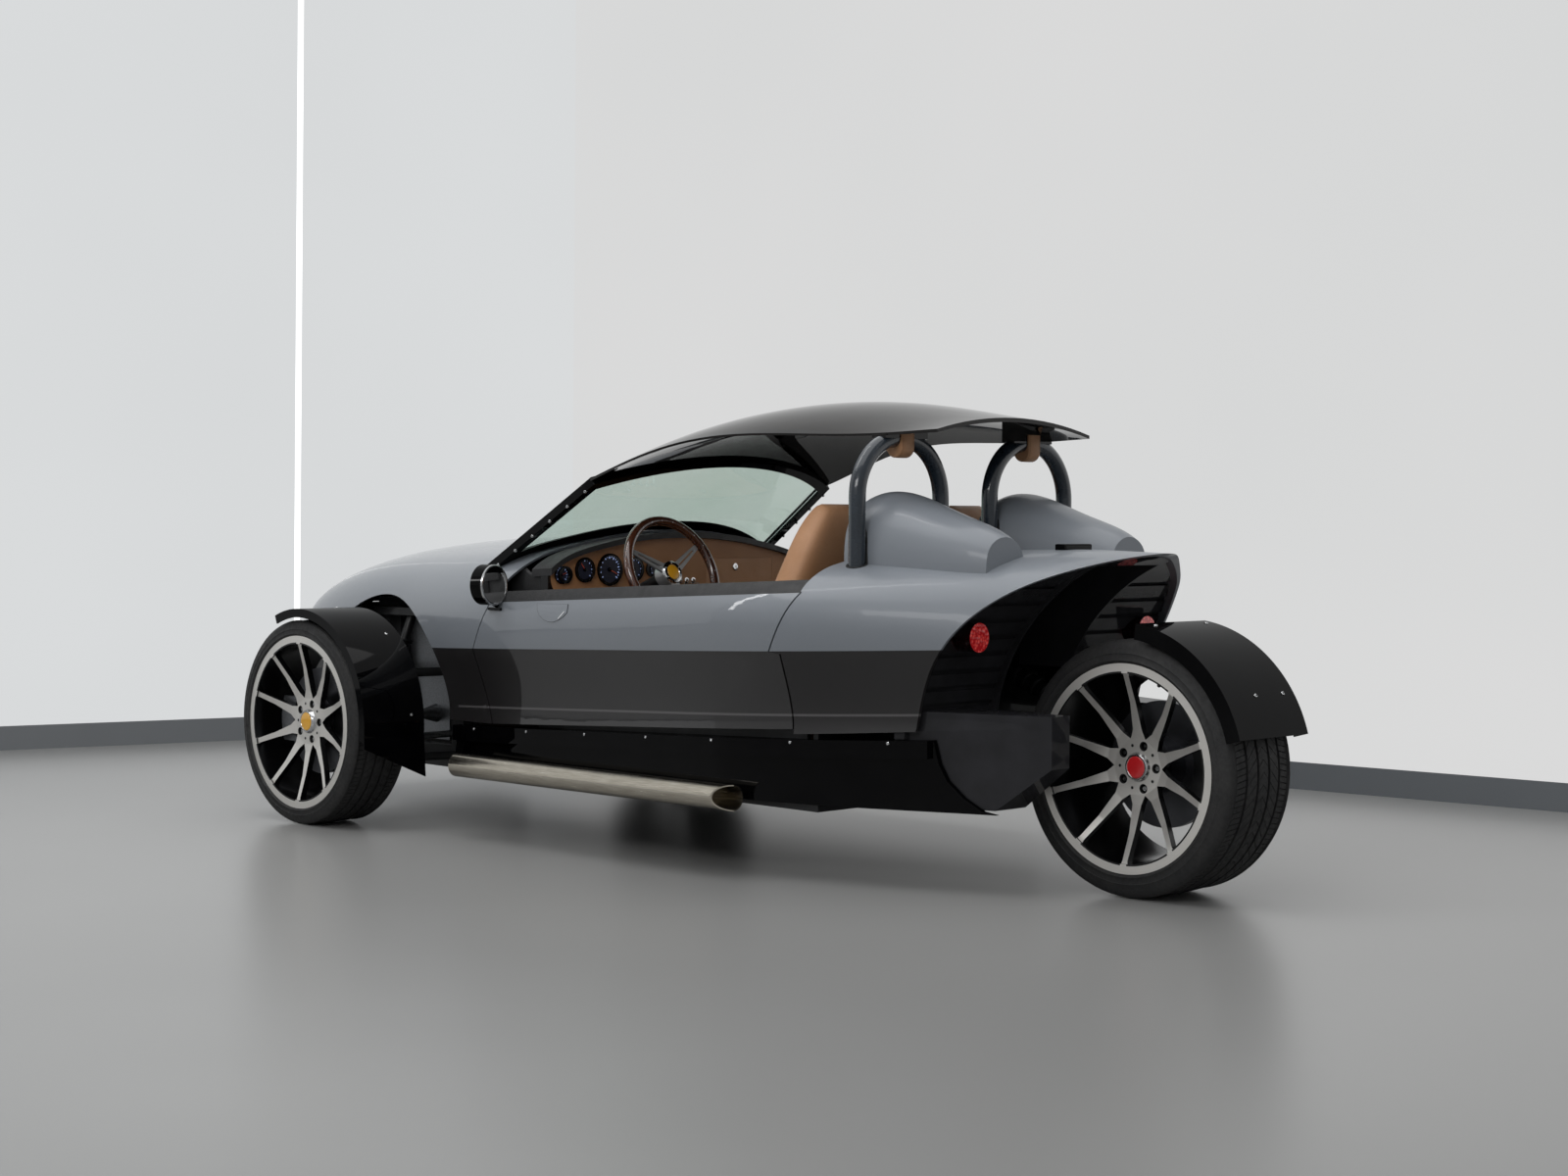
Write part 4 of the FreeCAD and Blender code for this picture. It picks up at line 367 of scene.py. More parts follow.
PAINT = body_paint("body_paint", 1.0)
REAR_PAINT = body_paint("body_paint_rear", 0.25)
BLACK = gloss("black_gloss", "#020203", "#060607", 0.3, 0.36)
ROOF = gloss("roof_gloss", "#0d0b0a", "#14110f", 0.3)
# Gloss black for the tail fascia, painted a lighter grey than the other black parts: painted light that
# stands in for light the fascia doesn't get in the shade under the tail.
FASCIA_PAINTED_LIGHTER = gloss("fascia_painted_lighter", "#29292b", "#313134", 0.34, 0.5)
HOOP = gloss("hoop_gloss", "#1c242c", "#262f38", 0.25, 1.0, 0.3)
SATIN = gloss("black_satin", "#111213", "#191a1b", 0.42, 0.2, 0.3)
TAN = leather("tan_leather", "#c3946f", "#b6865f", "#906643")
PAD = leather("black_padding", "#131315", "#1a1a1c", "#09090a")
CAST = metal("cast_alloy", "#6f7174", "#8b8d90", 0.42, size=0.004)
STEEL = metal("bare_steel", "#8d8f92", "#a9abad", 0.3)
PIPE = metal("stainless_pipe", "#a69f92", "#c3bdb0", 0.2, (1, 0.05, 1), 0.003)
CHROME = metal("chrome", "#dfe0e1", "#eceded", 0.08)
FITTINGS = metal("fittings", "#b9babb", "#d0d1d2", 0.18)
TYRE = rubber()
DISC = brake_disc()
GLASS = glass()
LENS = lens()
CLEAR = lamp_glass()
YELLOW = flat_finish("cap_yellow", "#d79a12", "#e6ab22", 0.3, Coat_Weight=0.8)
RED = flat_finish("cap_red", "#b3161b", "#c5252a", 0.3, Coat_Weight=0.8)
DIAL = flat_finish("dial_black", "#0a0f22", "#101834", 0.35)
# The dial marks glow with an emission of their own: painted light.
GLOWING_MARKS = flat_finish("dial_marks_painted_glow", "#a9bff2", "#c0d0f8", 0.4, Emission_Color=(0.4, 0.52, 0.9, 1),
                   Emission_Strength=0.8)
NEEDLE = flat_finish("dial_needle", "#c84a2c", "#d65c3c", 0.4)
STITCH = flat_finish("stitching", "#6f4526", "#825330", 0.7)
# Near black: the own colour of the rubber hoop rings, the valves and the deck lamp strip, and painted shade
# in the wheel holes, the nut pocket edges, the lock's key slot, the gap round the door pulls and the radiator
# core.
DARK_PARTS_AND_SHADE = flat_finish("dark_parts_and_painted_shade", "#0a0a0a", "#101010", 0.7)


def paint(look, *names):
    """Gives CAD nodes a material."""
    for name in names:
        for place in NODES[name].material_slots:
            place.material = look


paint(PAINT, "body_front", "door_left", "door_right")
paint(REAR_PAINT, "body_rear")
paint(PAD, "door_trim_left", "door_trim_right", "dash_brow")
paint(BLACK, "mirror_left", "mirror_right", "fender_front_left", "fender_front_right", "rear_fender",
      "rocker_panels", "front_bumper", "grille", "windscreen_frame")
paint(FASCIA_PAINTED_LIGHTER, "tail_fascia")
paint(SATIN, "tub", "wishbones", "coil_overs", "steering_column", "swing_arm")
paint(CAST, "engine_block", "knuckle_left", "knuckle_right")
paint(STEEL, "half_shafts", "steering_rack")
paint(HOOP, "roll_hoops")
paint(ROOF, "roof_panel")
paint(GLASS, "windscreen_glass")
paint(PIPE, "side_pipes")
paint(CHROME, "headlamps")
paint(LENS, "tail_lamps")
paint(dash_leather(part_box("dash_panel")[1][1] - 0.007), "dash_panel")
paint(TAN, "glovebox_lid")
paint(wheel_wood(HAND_WHEEL, 0.148), "steering_wheel")
paint(alloy("alloy_left", CENTRES["front_left"], 0.812, 0.9), "rim_front_left")
paint(alloy("alloy_right", CENTRES["front_right"], 0.812, 0.9), "rim_front_right")
paint(alloy("alloy_rear", CENTRES["rear"], 0.068, 0.7), "rim_rear")
paint(DISC, "disc_front_left", "disc_front_right", "disc_rear")


# Mesh helpers
def add(name, mesh, mats, body, sharp=True):
    """Makes mesh a smooth object with those materials that rides on body."""
    for m in mats:
        mesh.materials.append(m)
    mesh.shade_smooth()
    if sharp:
        mesh.set_sharp_from_angle(angle=math.radians(35))
    ob = bpy.data.objects.new(name, mesh)
    bpy.context.collection.objects.link(ob)
    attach(ob, body)
    return ob


def turned_out(bm, mesh):
    """Writes bm to mesh with its faces turned outward."""
    bmesh.ops.recalc_face_normals(bm, faces=bm.faces[:])
    bm.to_mesh(mesh)
    bm.free()
    return mesh


def finish(name, bm, mats, body):
    """Makes bm an object with those materials that rides on body."""
    return add(name, turned_out(bm, bpy.data.meshes.new(name)), mats, body)


def skin(name, verts, faces):
    """A mesh of those points and faces, turned outward."""
    mesh = bpy.data.meshes.new(name)
    mesh.from_pydata(verts, [], faces)
    bm = bmesh.new()
    bm.from_mesh(mesh)
    return turned_out(bm, mesh)


def aim(place, direction, roll=0.0):
    """A frame at place whose Z looks along direction."""
    turn = Vector(direction).normalized().to_track_quat("Z", "Y").to_matrix().to_4x4()
    return Matrix.Translation(Vector(place)) @ turn @ Matrix.Rotation(roll, 4, "Z")


def lathe(bm, profile, m, seg=48, slot=0):
    """Turns (radius, height) points about m's Z."""
    rings = []
    for r, h in profile:
        if r < 1e-6:
            rings.append([bm.verts.new(m @ Vector((0, 0, h)))])
        else:
            rings.append([bm.verts.new(m @ Vector((r * math.cos(t), r * math.sin(t), h)))
                          for t in (2 * math.pi * k / seg for k in range(seg))])
    for a, b in zip(rings, rings[1:]):
        for k in range(seg):
            j = (k + 1) % seg
            if len(a) == 1:
                f = bm.faces.new((a[0], b[k], b[j]))
            elif len(b) == 1:
                f = bm.faces.new((a[k], a[j], b[0]))
            else:
                f = bm.faces.new((a[k], a[j], b[j], b[k]))
            f.material_index = slot


def block(bm, size, m, bevel=0.0, slot=0, seg=2):
    """A box of that size with rounded edges, in frame m."""
    got = bmesh.ops.create_cube(bm, size=1.0, matrix=m @ Matrix.Diagonal((*size, 1)))
    faces = {f for v in got["verts"] for f in v.link_faces}
    for f in faces:
        f.material_index = slot
    if bevel:
        edges = list({e for f in faces for e in f.edges})
        bmesh.ops.bevel(bm, geom=edges, offset=bevel, segments=seg, profile=0.7, affect="EDGES",
                        material=-1)


def block_at(bm, size, place, bevel=0.0, slot=0):
    """A box of that size at place, along the axes."""
    block(bm, size, Matrix.Translation(place), bevel, slot)


def loop_tube(bm, path, radius, seg):
    """A round tube through a closed loop of points."""
    points = [Vector(p) for p in path]
    rings, up = [], Vector((0.31, 0.17, 0.93)).normalized()
    for k, p in enumerate(points):
        t = (points[(k + 1) % len(points)] - points[k - 1]).normalized()
        side = t.cross(up).normalized()
        top = side.cross(t)
        rings.append([bm.verts.new(p + (side * math.cos(w) + top * math.sin(w)) * radius)
                      for w in (2 * math.pi * j / seg for j in range(seg))])
    for k in range(len(rings)):
        a, b = rings[k], rings[(k + 1) % len(rings)]
        for j in range(seg):
            bm.faces.new((a[j], a[(j + 1) % seg], b[(j + 1) % seg], b[j]))


def screw(bm, place, direction, r=0.0055, slot=0):
    """A domed screw head with a hex socket."""
    m = aim(place, direction)
    lathe(bm, [(r, -0.0015), (r, r * 0.25), (r * 0.86, r * 0.55), (r * 0.5, r * 0.68)], m, 18, slot)
    lathe(bm, [(r * 0.5, r * 0.68), (r * 0.45, r * 0.25), (0, r * 0.25)], m, 6, slot)


def hit(node, start, direction):
    """Where a ray meets a CAD node, and the surface normal there."""
    ok, place, normal, _ = NODES[node].ray_cast(Vector(start), Vector(direction))
    return (place, normal) if ok else (None, None)


def upward(turn):
    """A direction in the plane of a wheel, turn radians from straight up towards the rear."""
    return Vector((0, math.sin(turn), math.cos(turn)))


# Tyres
TREAD_EDGE = 0.77


def sidewall(bead, wall):
    """Half width and radius of a sidewall's ribs, from the bead out."""
    return [(0.90, 0.262), (0.945, bead), (0.985, bead + 0.06 * wall), (1.0, bead + 0.11 * wall),
            (0.985, bead + 0.16 * wall), (0.985, bead + 0.38 * wall), (0.993, bead + 0.40 * wall),
            (0.985, bead + 0.43 * wall), (0.965, bead + 0.62 * wall), (0.935, bead + 0.80 * wall),
            (0.895, bead + 0.91 * wall), (0.84, bead + 0.965 * wall)]


def tread_line(radius, half):
    """The tread across, as (half width, radius, kind): 0 groove, 1 rib, 2 shoulder."""
    cut, deep = 0.0048 / half, 0.0075
    grooves = (-0.5, -0.17, 0.17, 0.5)
    edges = [-TREAD_EDGE] + [g + s * cut for g in grooves for s in (-1, 1)] + [TREAD_EDGE]
    line = []
    for g0, g1 in zip(edges[::2], edges[1::2]):
        for k in range(5):
            x = g0 + (g1 - g0) * k / 4
            line.append((x, radius - 0.005 * (x / TREAD_EDGE) ** 2, 2 if abs(g0 + g1) > 1 else 1))
        if g1 < 0.7:
            line += [(g1 + cut * 0.25, radius - deep, 0), (g1 + cut * 1.75, radius - deep, 0)]
    return line


def tyre(label, centre, width, blocks):
    """Low tyre with four grooves round it, cut shoulder blocks, slanted sipes and ribbed sidewalls."""
    radius, half, bead = centre[2], width / 2, 0.2690
    rib_cut, shoulder_cut, rib_lean, shoulder_lean = 0.0045, 0.0060, 0.95, 0.2
    side = sidewall(bead, radius - bead)
    profile = [(-x, r, 0) for x, r in side] + tread_line(radius, half) + [(x, r, 0) for x, r in side[::-1]]
    profile += [(0.88, 0.258, 0), (-0.88, 0.258, 0)]
    period = 2 * math.pi / blocks
    rows = []
    for k in range(blocks):
        for phase in (0.0, 0.20, 0.225, 0.25, 0.275, 0.70, 0.725, 0.75, 0.775):
            row = []
            for x, r, kind in profile:
                drop = 0.0
                if kind and phase in (0.225, 0.25) or kind == 2 and phase in (0.725, 0.75):
                    drop = shoulder_cut if kind == 2 else rib_cut
                lean = shoulder_lean if kind == 2 else rib_lean
                t = (k + phase) * period + lean * (min(abs(x), TREAD_EDGE) * half) / radius
                row.append((centre[0] + x * half, centre[1] + (r - drop) * math.sin(t),
                            centre[2] + (r - drop) * math.cos(t)))
            rows.append(row)
    count = len(profile)
    faces = []
    for k in range(len(rows)):
        a, b = k * count, (k + 1) % len(rows) * count
        for j in range(count):
            n = (j + 1) % count
            faces.append((a + j, a + n, b + n, b + j))
    mesh = skin("tyre_tread_" + label, [p for row in rows for p in row], faces)
    ob = add("tyre_tread_" + label, mesh, [TYRE], "wheel_" + label)
    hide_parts("tyre_" + label)


tyre("front_left", CENTRES["front_left"], 0.205, 64)
tyre("front_right", CENTRES["front_right"], 0.205, 64)
tyre("rear", CENTRES["rear"], 0.280, 66)


# Wheel fittings
def wheel_fittings(label, face, side, cap):
    """Five nuts in their pockets, five small holes, a coloured cap with a bright ring and a valve. The holes
    are dark discs and the pocket edges dark rings: painted shade.
    """
    bolt_circle, valve_turn, valve_circle = 0.057, 0.31, 0.232
    bm = bmesh.new()
    out = Vector((side, 0, 0))
    hub = Vector(CENTRES[label]) + out * face
    for k in range(10):
        m = aim(hub + upward(math.radians(18 + 36 * k)) * bolt_circle, out)
        if k % 2 == 0:
            lathe(bm, [(0.0076, -0.019), (0.0076, -0.007), (0.0064, -0.0052), (0.0040, -0.0052),
                       (0.0038, -0.011), (0, -0.011)], m, 6, 0)
            lathe(bm, [(0.0030, -0.012), (0.0030, -0.0060), (0.0022, -0.0050), (0, -0.0050)], m, 14, 0)
            # Dark ring lining the pocket's edge: painted shade in the gap round the nut.
            lathe(bm, [(0.0124, 0.0002), (0.0116, 0.0005), (0.0109, 0.0001), (0.0104, -0.006)], m, 28, 2)
        else:
            # Dark disc for a small hole: painted shade.
            lathe(bm, [(0.0042, 0.0003), (0.0036, 0.0006), (0.0030, 0.0003), (0, 0.0003)], m, 18, 2)
    m = aim(hub + out * 0.009, out)
    lathe(bm, [(0.0385, -0.0091), (0.0372, -0.0068), (0.0336, 0.0002), (0.0322, 0.0014), (0.0288, 0.0014),
               (0.0280, 0.0006)], m, 56, 0)
    lathe(bm, [(0.0280, 0.0006), (0.0262, 0.0022), (0.018, 0.0030), (0, 0.0034)], m, 56, 1)
    spot = hub + upward(valve_turn) * valve_circle - out * 0.012
    lathe(bm, [(0.0042, -0.03), (0.0042, 0.008), (0.0052, 0.009), (0.0052, 0.02), (0.004, 0.022), (0, 0.022)],
          aim(spot, out * 0.8 - upward(valve_turn) * 0.4), 14, 2)
    finish("wheel_fittings_" + label, bm, [FITTINGS, cap, DARK_PARTS_AND_SHADE], "wheel_" + label)


wheel_fittings("front_left", 0.0565, 1, YELLOW)
wheel_fittings("front_right", 0.0565, -1, YELLOW)
wheel_fittings("rear", 0.075, 1, RED)


# Seats
def pad(name, point, normal, front, back, across, up, relief):
    """A closed pad: point gives its middle sheet over u and v in -1..1, front and back its depths."""
    def edge(u, v):
        return max(0.0, 1 - abs(u) ** 7) ** 0.36 * max(0.0, 1 - abs(v) ** 9) ** 0.36

    def steps(count):
        return [math.sin(math.pi * (k / count - 0.5)) * 0.35 + (k / count * 2 - 1) * 0.65
                for k in range(count + 1)]

    verts, faces, key = [], [], {}
    for layer in (1, -1):
        for i, u in enumerate(steps(across)):
            for j, v in enumerate(steps(up)):
                if layer < 0 and (i in (0, across) or j in (0, up)):
                    key[layer, i, j] = key[1, i, j]
                    continue
                depth = front * edge(u, v) + relief(u, v) * edge(u, v) if layer > 0 else -back * edge(u, v)
                key[layer, i, j] = len(verts)
                verts.append(point(u, v) + normal * depth)
        for i in range(across):
            for j in range(up):
                corners = ((i, j), (i + 1, j), (i + 1, j + 1), (i, j + 1))
                quad = [key[layer, a, b] for a, b in corners]
                faces.append(quad if layer > 0 else quad[::-1])
    ob = add(name, skin(name, verts, faces), [TAN], "chassis", sharp=False)
    return ob


def groove(u, lines, deep, wide):
    """Depth at u of soft grooves along those lines."""
    return -sum(deep * math.exp(-((u - c) / wide) ** 2) for c in lines)


def channels(u, edge):
    """Sewn channels over the flat middle of a cushion."""
    return groove(u, (-0.52, -0.27, 0.0, 0.27, 0.52), 0.007, 0.022) * (1 if abs(u) < edge else 0)


def bolster(u, inner, gain):
    """Height at u of the raised sides of a cushion, from inner out."""
    outer = 0.88
    t = min(1.0, max(0.0, (abs(u) - inner) / (outer - inner)))
    return gain * t * t * (3 - 2 * t)


def seat(side, label):
    """One seat: a squab and a high tapered back, both channelled, with raised bolsters."""
    def back_half(t):
        if t < 0.58:
            return 0.205
        s = (t - 0.58) / 0.42
        return 0.205 - 0.105 * s - 0.035 * s ** 6

    def back_point(u, v):
        t = (v + 1) / 2
        return Vector((SEAT_X * side + u * back_half(t), y(1.672 + 0.085 * t), 0.335 + 0.668 * t))

    def back_relief(u, v):
        return bolster(u, 0.56, 0.030) * min(1, max(0, (0.9 - v) * 1.6)) + channels(u, 0.6)

    def squab_point(u, v):
        t = (v + 1) / 2
        return Vector((SEAT_X * side + u * 0.212, y(1.238 + 0.385 * t), 0.305 - 0.018 * t))

    def squab_relief(u, v):
        cross = groove(v, (0.55,), 0.006, 0.03) * (1 if abs(u) < 0.62 else 0)
        return bolster(u, 0.6, 0.022) + channels(u, 0.62) + cross

    lean = Vector((0, -1, 0.13)).normalized()
    back = pad("seat_back_" + label, back_point, lean, 0.040, 0.048, 56, 64, back_relief)
    pad("seat_squab_" + label, squab_point, Vector((0, 0, 1)), 0.052, 0.083, 56, 48, squab_relief)
    return back


seat_backs = [seat(side, label) for side, label in SIDES]
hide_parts("seats")


# Instruments and switches
DASH_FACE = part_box("dash_panel")[1][1] - 0.008
# X, Z and radius of each gauge, and below that the turn of its needle in degrees
GAUGES = ((0.4955, 0.790, 0.026), (0.406, 0.804, 0.037), (0.308, 0.804, 0.048), (0.210, 0.804, 0.037),
          (0.1205, 0.804, 0.026))
NEEDLE_TURNS = (-70, 35, -115, 60, -20)


def on_dial(m, turn, reach, height):
    """A frame on a dial, turned and moved out from its middle."""
    return m @ Matrix.Rotation(turn, 4, "Z") @ Matrix.Translation((0, reach, height))


def gauge(bm, m, r, needle):
    """A dial with long and short marks, a ring, a needle and its boss."""
    lathe(bm, [(r * 1.0, 0.0), (r * 0.98, 0.0008), (r * 0.35, 0.0008), (0, 0.0008)], m, 48, 0)
    lathe(bm, [(r * 1.02, 0.001), (r * 1.02, 0.0062), (r * 0.97, 0.0072), (r * 0.93, 0.0060),
               (r * 0.93, 0.001)], m, 48, 3)
    last = 20 if r > 0.04 else 12
    for k in range(last + 1):
        turn = math.radians(-130 + 260 * k / last)
        long = k % 2 == 0
        block(bm, (r * 0.035, r * (0.17 if long else 0.09), 0.0006),
              on_dial(m, turn, r * (0.78 if long else 0.82), 0.0012), 0, 1)
    block(bm, (r * 0.05, r * 0.78, 0.0008), on_dial(m, math.radians(needle), r * 0.28, 0.0030), 0, 2)
    lathe(bm, [(r * 0.14, 0.001), (r * 0.14, 0.0036), (r * 0.1, 0.0044), (0, 0.0044)], m, 24, 3)


def switch(bm, x, z):
    """A small toggle switch on its nut."""
    lathe(bm, [(0.0095, 0.0), (0.0095, 0.0015), (0.0062, 0.002), (0.0062, 0.005), (0.0045, 0.0058)],
          aim((x, DASH_FACE, z), (0, 1, 0)), 20, 4)
    lathe(bm, [(0.0022, 0.0), (0.0024, 0.012), (0.0038, 0.019), (0.0036, 0.0225), (0, 0.0240)],
          aim((x, DASH_FACE + 0.004, z), (0, 1, -0.45)), 16, 4)


bm = bmesh.new()
for (x, z, r), needle in zip(GAUGES, NEEDLE_TURNS):
    gauge(bm, aim((x, DASH_FACE + 0.002, z), (0, 1, 0)), r, needle)
for k in range(4):
    switch(bm, 0.045 - 0.028 * k, 0.766)
finish("instruments", bm, [DIAL, GLOWING_MARKS, NEEDLE, BLACK, CHROME], "chassis")

# Lock of the glovebox lid
lid_low, lid_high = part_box("glovebox_lid")
bm = bmesh.new()
m = aim(((lid_low[0] + lid_high[0]) / 2 + 0.02, lid_high[1], lid_high[2] - 0.028), (0, 1, 0))
lathe(bm, [(0.0115, -0.001), (0.0115, 0.0022), (0.0098, 0.0032), (0.0060, 0.0030), (0.0055, 0.0018),
           (0, 0.0018)], m, 32, 0)
# Dark key slot on the lock: painted shade in the slot.
block(bm, (0.0012, 0.007, 0.0008), m @ Matrix.Translation((0, 0, 0.0021)), 0, 1)
finish("lid_lock", bm, [CHROME, DARK_PARTS_AND_SHADE], "glovebox_lid")

# Hand wheel cap and rim rivets
rake, screw_circle, rivet_circle = math.radians(22), 0.0292, 0.1615
axis = Vector((0, math.cos(rake), math.sin(rake)))
bm = bmesh.new()
m = aim(Vector(HAND_WHEEL), axis)
lathe(bm, [(0.0355, -0.002), (0.0355, 0.003), (0.0325, 0.0055), (0.0235, 0.006), (0.0225, 0.0045)], m, 56, 0)
lathe(bm, [(0.0225, 0.004), (0.0210, 0.0060), (0.012, 0.0068), (0, 0.0070)], m, 48, 1)
for k in range(6):
    t = math.radians(60 * k + 30)
    screw(bm, m @ Vector((screw_circle * math.cos(t), screw_circle * math.sin(t), 0.0048)), axis, 0.0028, 0)
for k in range(24):
    t = math.radians(15 * k)
    spot = m @ Vector((rivet_circle * math.cos(t), rivet_circle * math.sin(t), 0.0128))
    lathe(bm, [(0.0022, -0.0006), (0.0022, 0.0006), (0.0012, 0.0011), (0, 0.0012)], aim(spot, axis), 12, 0)
finish("hand_wheel_cap", bm, [CHROME, YELLOW], "steering_wheel")


# Door furniture
def door_pull(side, label):
    """A flush half round pull plate that follows the door's skin, with a dark band round it that is painted
    shade in the gap.
    """
    door = "door_" + label
    outline = [(0.886, 0.7085), (1.029, 0.7110), (1.029, 0.6870), (1.012, 0.6740), (0.990, 0.6640),
               (0.968, 0.6585), (0.944, 0.6590), (0.922, 0.6650), (0.905, 0.6750), (0.893, 0.6890)]
    mid_y, mid_z = 0.960, 0.690

    def on_door(place, z):
        return hit(door, (side * OUTSIDE, y(place), z), (-side, 0, 0))

    bm = bmesh.new()
    # The first, larger sheet is the dark band round the plate: painted shade in the gap.
    for grow, lift, slot in ((1.03, 0.0006, 1), (1.0, 0.0016, 0)):
        ring, inner = [], []
        for py, pz in outline:
            for share, into in ((grow, ring), (grow * 0.55, inner)):
                place, normal = on_door(mid_y + (py - mid_y) * share, mid_z + (pz - mid_z) * share)
                into.append(bm.verts.new(place + normal * lift))
        place, normal = on_door(mid_y, mid_z)
        top = bm.verts.new(place + normal * lift)
        for k in range(len(ring)):
            j = (k + 1) % len(ring)
            bm.faces.new((ring[k], ring[j], inner[j], inner[k])).material_index = slot
            bm.faces.new((inner[k], inner[j], top)).material_index = slot
    place, normal = on_door(1.006, 0.679)
    block(bm, (0.034, 0.004, 0.002), aim(place + normal * 0.002, normal, math.radians(40 * side)), 0.0008, 2)
    ob = finish("door_pull_" + label, bm, [PAINT, DARK_PARTS_AND_SHADE, CHROME], door)
    ob.data.shade_flat()


def mirror_glass(side, label):
    """Silvered glass, tilted in a bright ring on the mirror's back, and two screws in its foot."""
    turn, tilt = math.radians(13 * side), 0.088
    out = Vector((-math.sin(turn), math.cos(turn), 0))
    head = Vector((side * 0.668, y(0.682), 0.760))
    bm = bmesh.new()
    lathe(bm, [(0.0600, -0.001), (0.0600, 0.0066), (0.0575, 0.0076), (0.0550, 0.0066), (0.0550, -0.0008)],
          aim(head + out * 0.0395, out), 64, 1)
    lathe(bm, [(0.0547, 0.0), (0.03, 0.0002), (0, 0.0003)],
          aim(head + out * 0.0430, (out + Vector((0, 0, tilt))).normalized()), 64, 0)
    for step in (-0.022, 0.022):
        start = (side * 0.9, y(0.80) + step, 0.72)
        place, normal = hit("mirror_" + label, start, (-side * 0.6, 0, -0.35))
        if place is not None:
            screw(bm, place, normal, 0.0045, 1)
    finish("mirror_glass_" + label, bm, [CHROME, FITTINGS], "door_" + label)


for side, label in SIDES:
    door_pull(side, label)
for side, label in SIDES:
    mirror_glass(side, label)


# Straps that hold the roof to the hoops
def strap(side, label):
    """A tan hide saddle under a hoop that reaches up to the roof, with stitched edges."""
    xc, tube_z, r, half, stitch_step = side * SEAT_X, 1.157, 0.0272, 0.026, 0.006
    place, _ = hit("roof_panel", (xc, HOOP_Y, 1.185), (0, 0, 1))
    roof_z = place.z + 0.001
    arc = [(r * math.cos(math.pi * k / 12), tube_z - r * math.sin(math.pi * k / 12)) for k in range(13)]
    path = [(r, roof_z), (r, (roof_z + tube_z) / 2)] + arc + [(-r, (roof_z + tube_z) / 2), (-r, roof_z)]
    bm = bmesh.new()
    grid = []
    for sx, shrink in ((-1, 0.90), (-1, 0.98), (-0.9, 1.04), (-0.4, 1.07), (0.4, 1.07), (0.9, 1.04),
                       (1, 0.98), (1, 0.90)):
        grid.append([bm.verts.new((xc + sx * half, HOOP_Y + py * shrink,
                                   roof_z if pz == roof_z else tube_z + (pz - tube_z) * shrink))
                     for py, pz in path])
    for a, b in zip(grid, grid[1:]):
        for k in range(len(path) - 1):
            bm.faces.new((a[k], a[k + 1], b[k + 1], b[k]))
    for row in (grid[0], grid[-1]):
        bm.faces.new(row)
    for sx in (-1, 1):
        for (ay, az), (by, bz) in zip(path, path[1:]):
            t = Vector((0, by - ay, bz - az))
            out = Vector((0, -t.z, t.y)).normalized()
            count = max(1, round(t.length / stitch_step))
            for step in range(count):
                s = (step + 0.5) / count
                spot = Vector((xc + sx * half * 0.8, HOOP_Y + (ay + (by - ay) * s) * 1.05,
                               tube_z + (az + (bz - az) * s - tube_z) * 1.05))
                block(bm, (0.0012, 0.0012, 0.0036), aim(spot + out * 0.0001, t), 0.0003, 1)
    finish("roof_strap_" + label, bm, [TAN, STITCH], "chassis")


for side, label in SIDES:
    strap(side, label)

# Dark plates behind the slot between door and rocker: painted shade that fills the slot
shade_plate_length, shade_plate_y = 1.12, y(1.36)
bm = bmesh.new()
for side, _ in SIDES:
    block_at(bm, (0.012, shade_plate_length, 0.10), (side * 0.5435, shade_plate_y, 0.368), 0.003, 0)
    block_at(bm, (0.014, shade_plate_length, 0.006), (side * 0.5425, shade_plate_y, 0.420), 0.002, 1)
finish("slot_shade_plates", bm, [SATIN, PAD], "chassis")

# Radiator behind the grille, on the frame's front cross bar
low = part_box("tub")[0]
wide, foot, top, deep = 0.27, low[2] + 0.04, 0.655, 0.034
fins, tubes = 40, 14
back = low[1] - 0.001
mid_y, mid_z, tall = back - deep / 2, (top + foot) / 2, top - foot
bm = bmesh.new()
for x in (-wide, wide):
    block_at(bm, (0.028, deep, tall), (x, mid_y, mid_z), 0.004, 0)
for z in (foot, top):
    block_at(bm, (2 * wide + 0.03, deep, 0.022), (0, mid_y, z), 0.004, 0)
# Dark sheet through the core between the fins: painted shade.
block_at(bm, (2 * wide, 0.008, tall), (0, back - deep * 0.4, mid_z), 0.0, 1)
for k in range(fins):
    z = foot + 0.018 + (tall - 0.036) * k / (fins - 1)
    block_at(bm, (2 * wide - 0.03, deep * 0.7, 0.0018), (0, mid_y, z))
for k in range(tubes):
    x = -wide + 0.02 + (2 * wide - 0.04) * k / (tubes - 1)
    block_at(bm, (0.003, deep * 0.8, tall - 0.02), (x, mid_y, mid_z))
finish("radiator", bm, [SATIN, DARK_PARTS_AND_SHADE], "chassis")


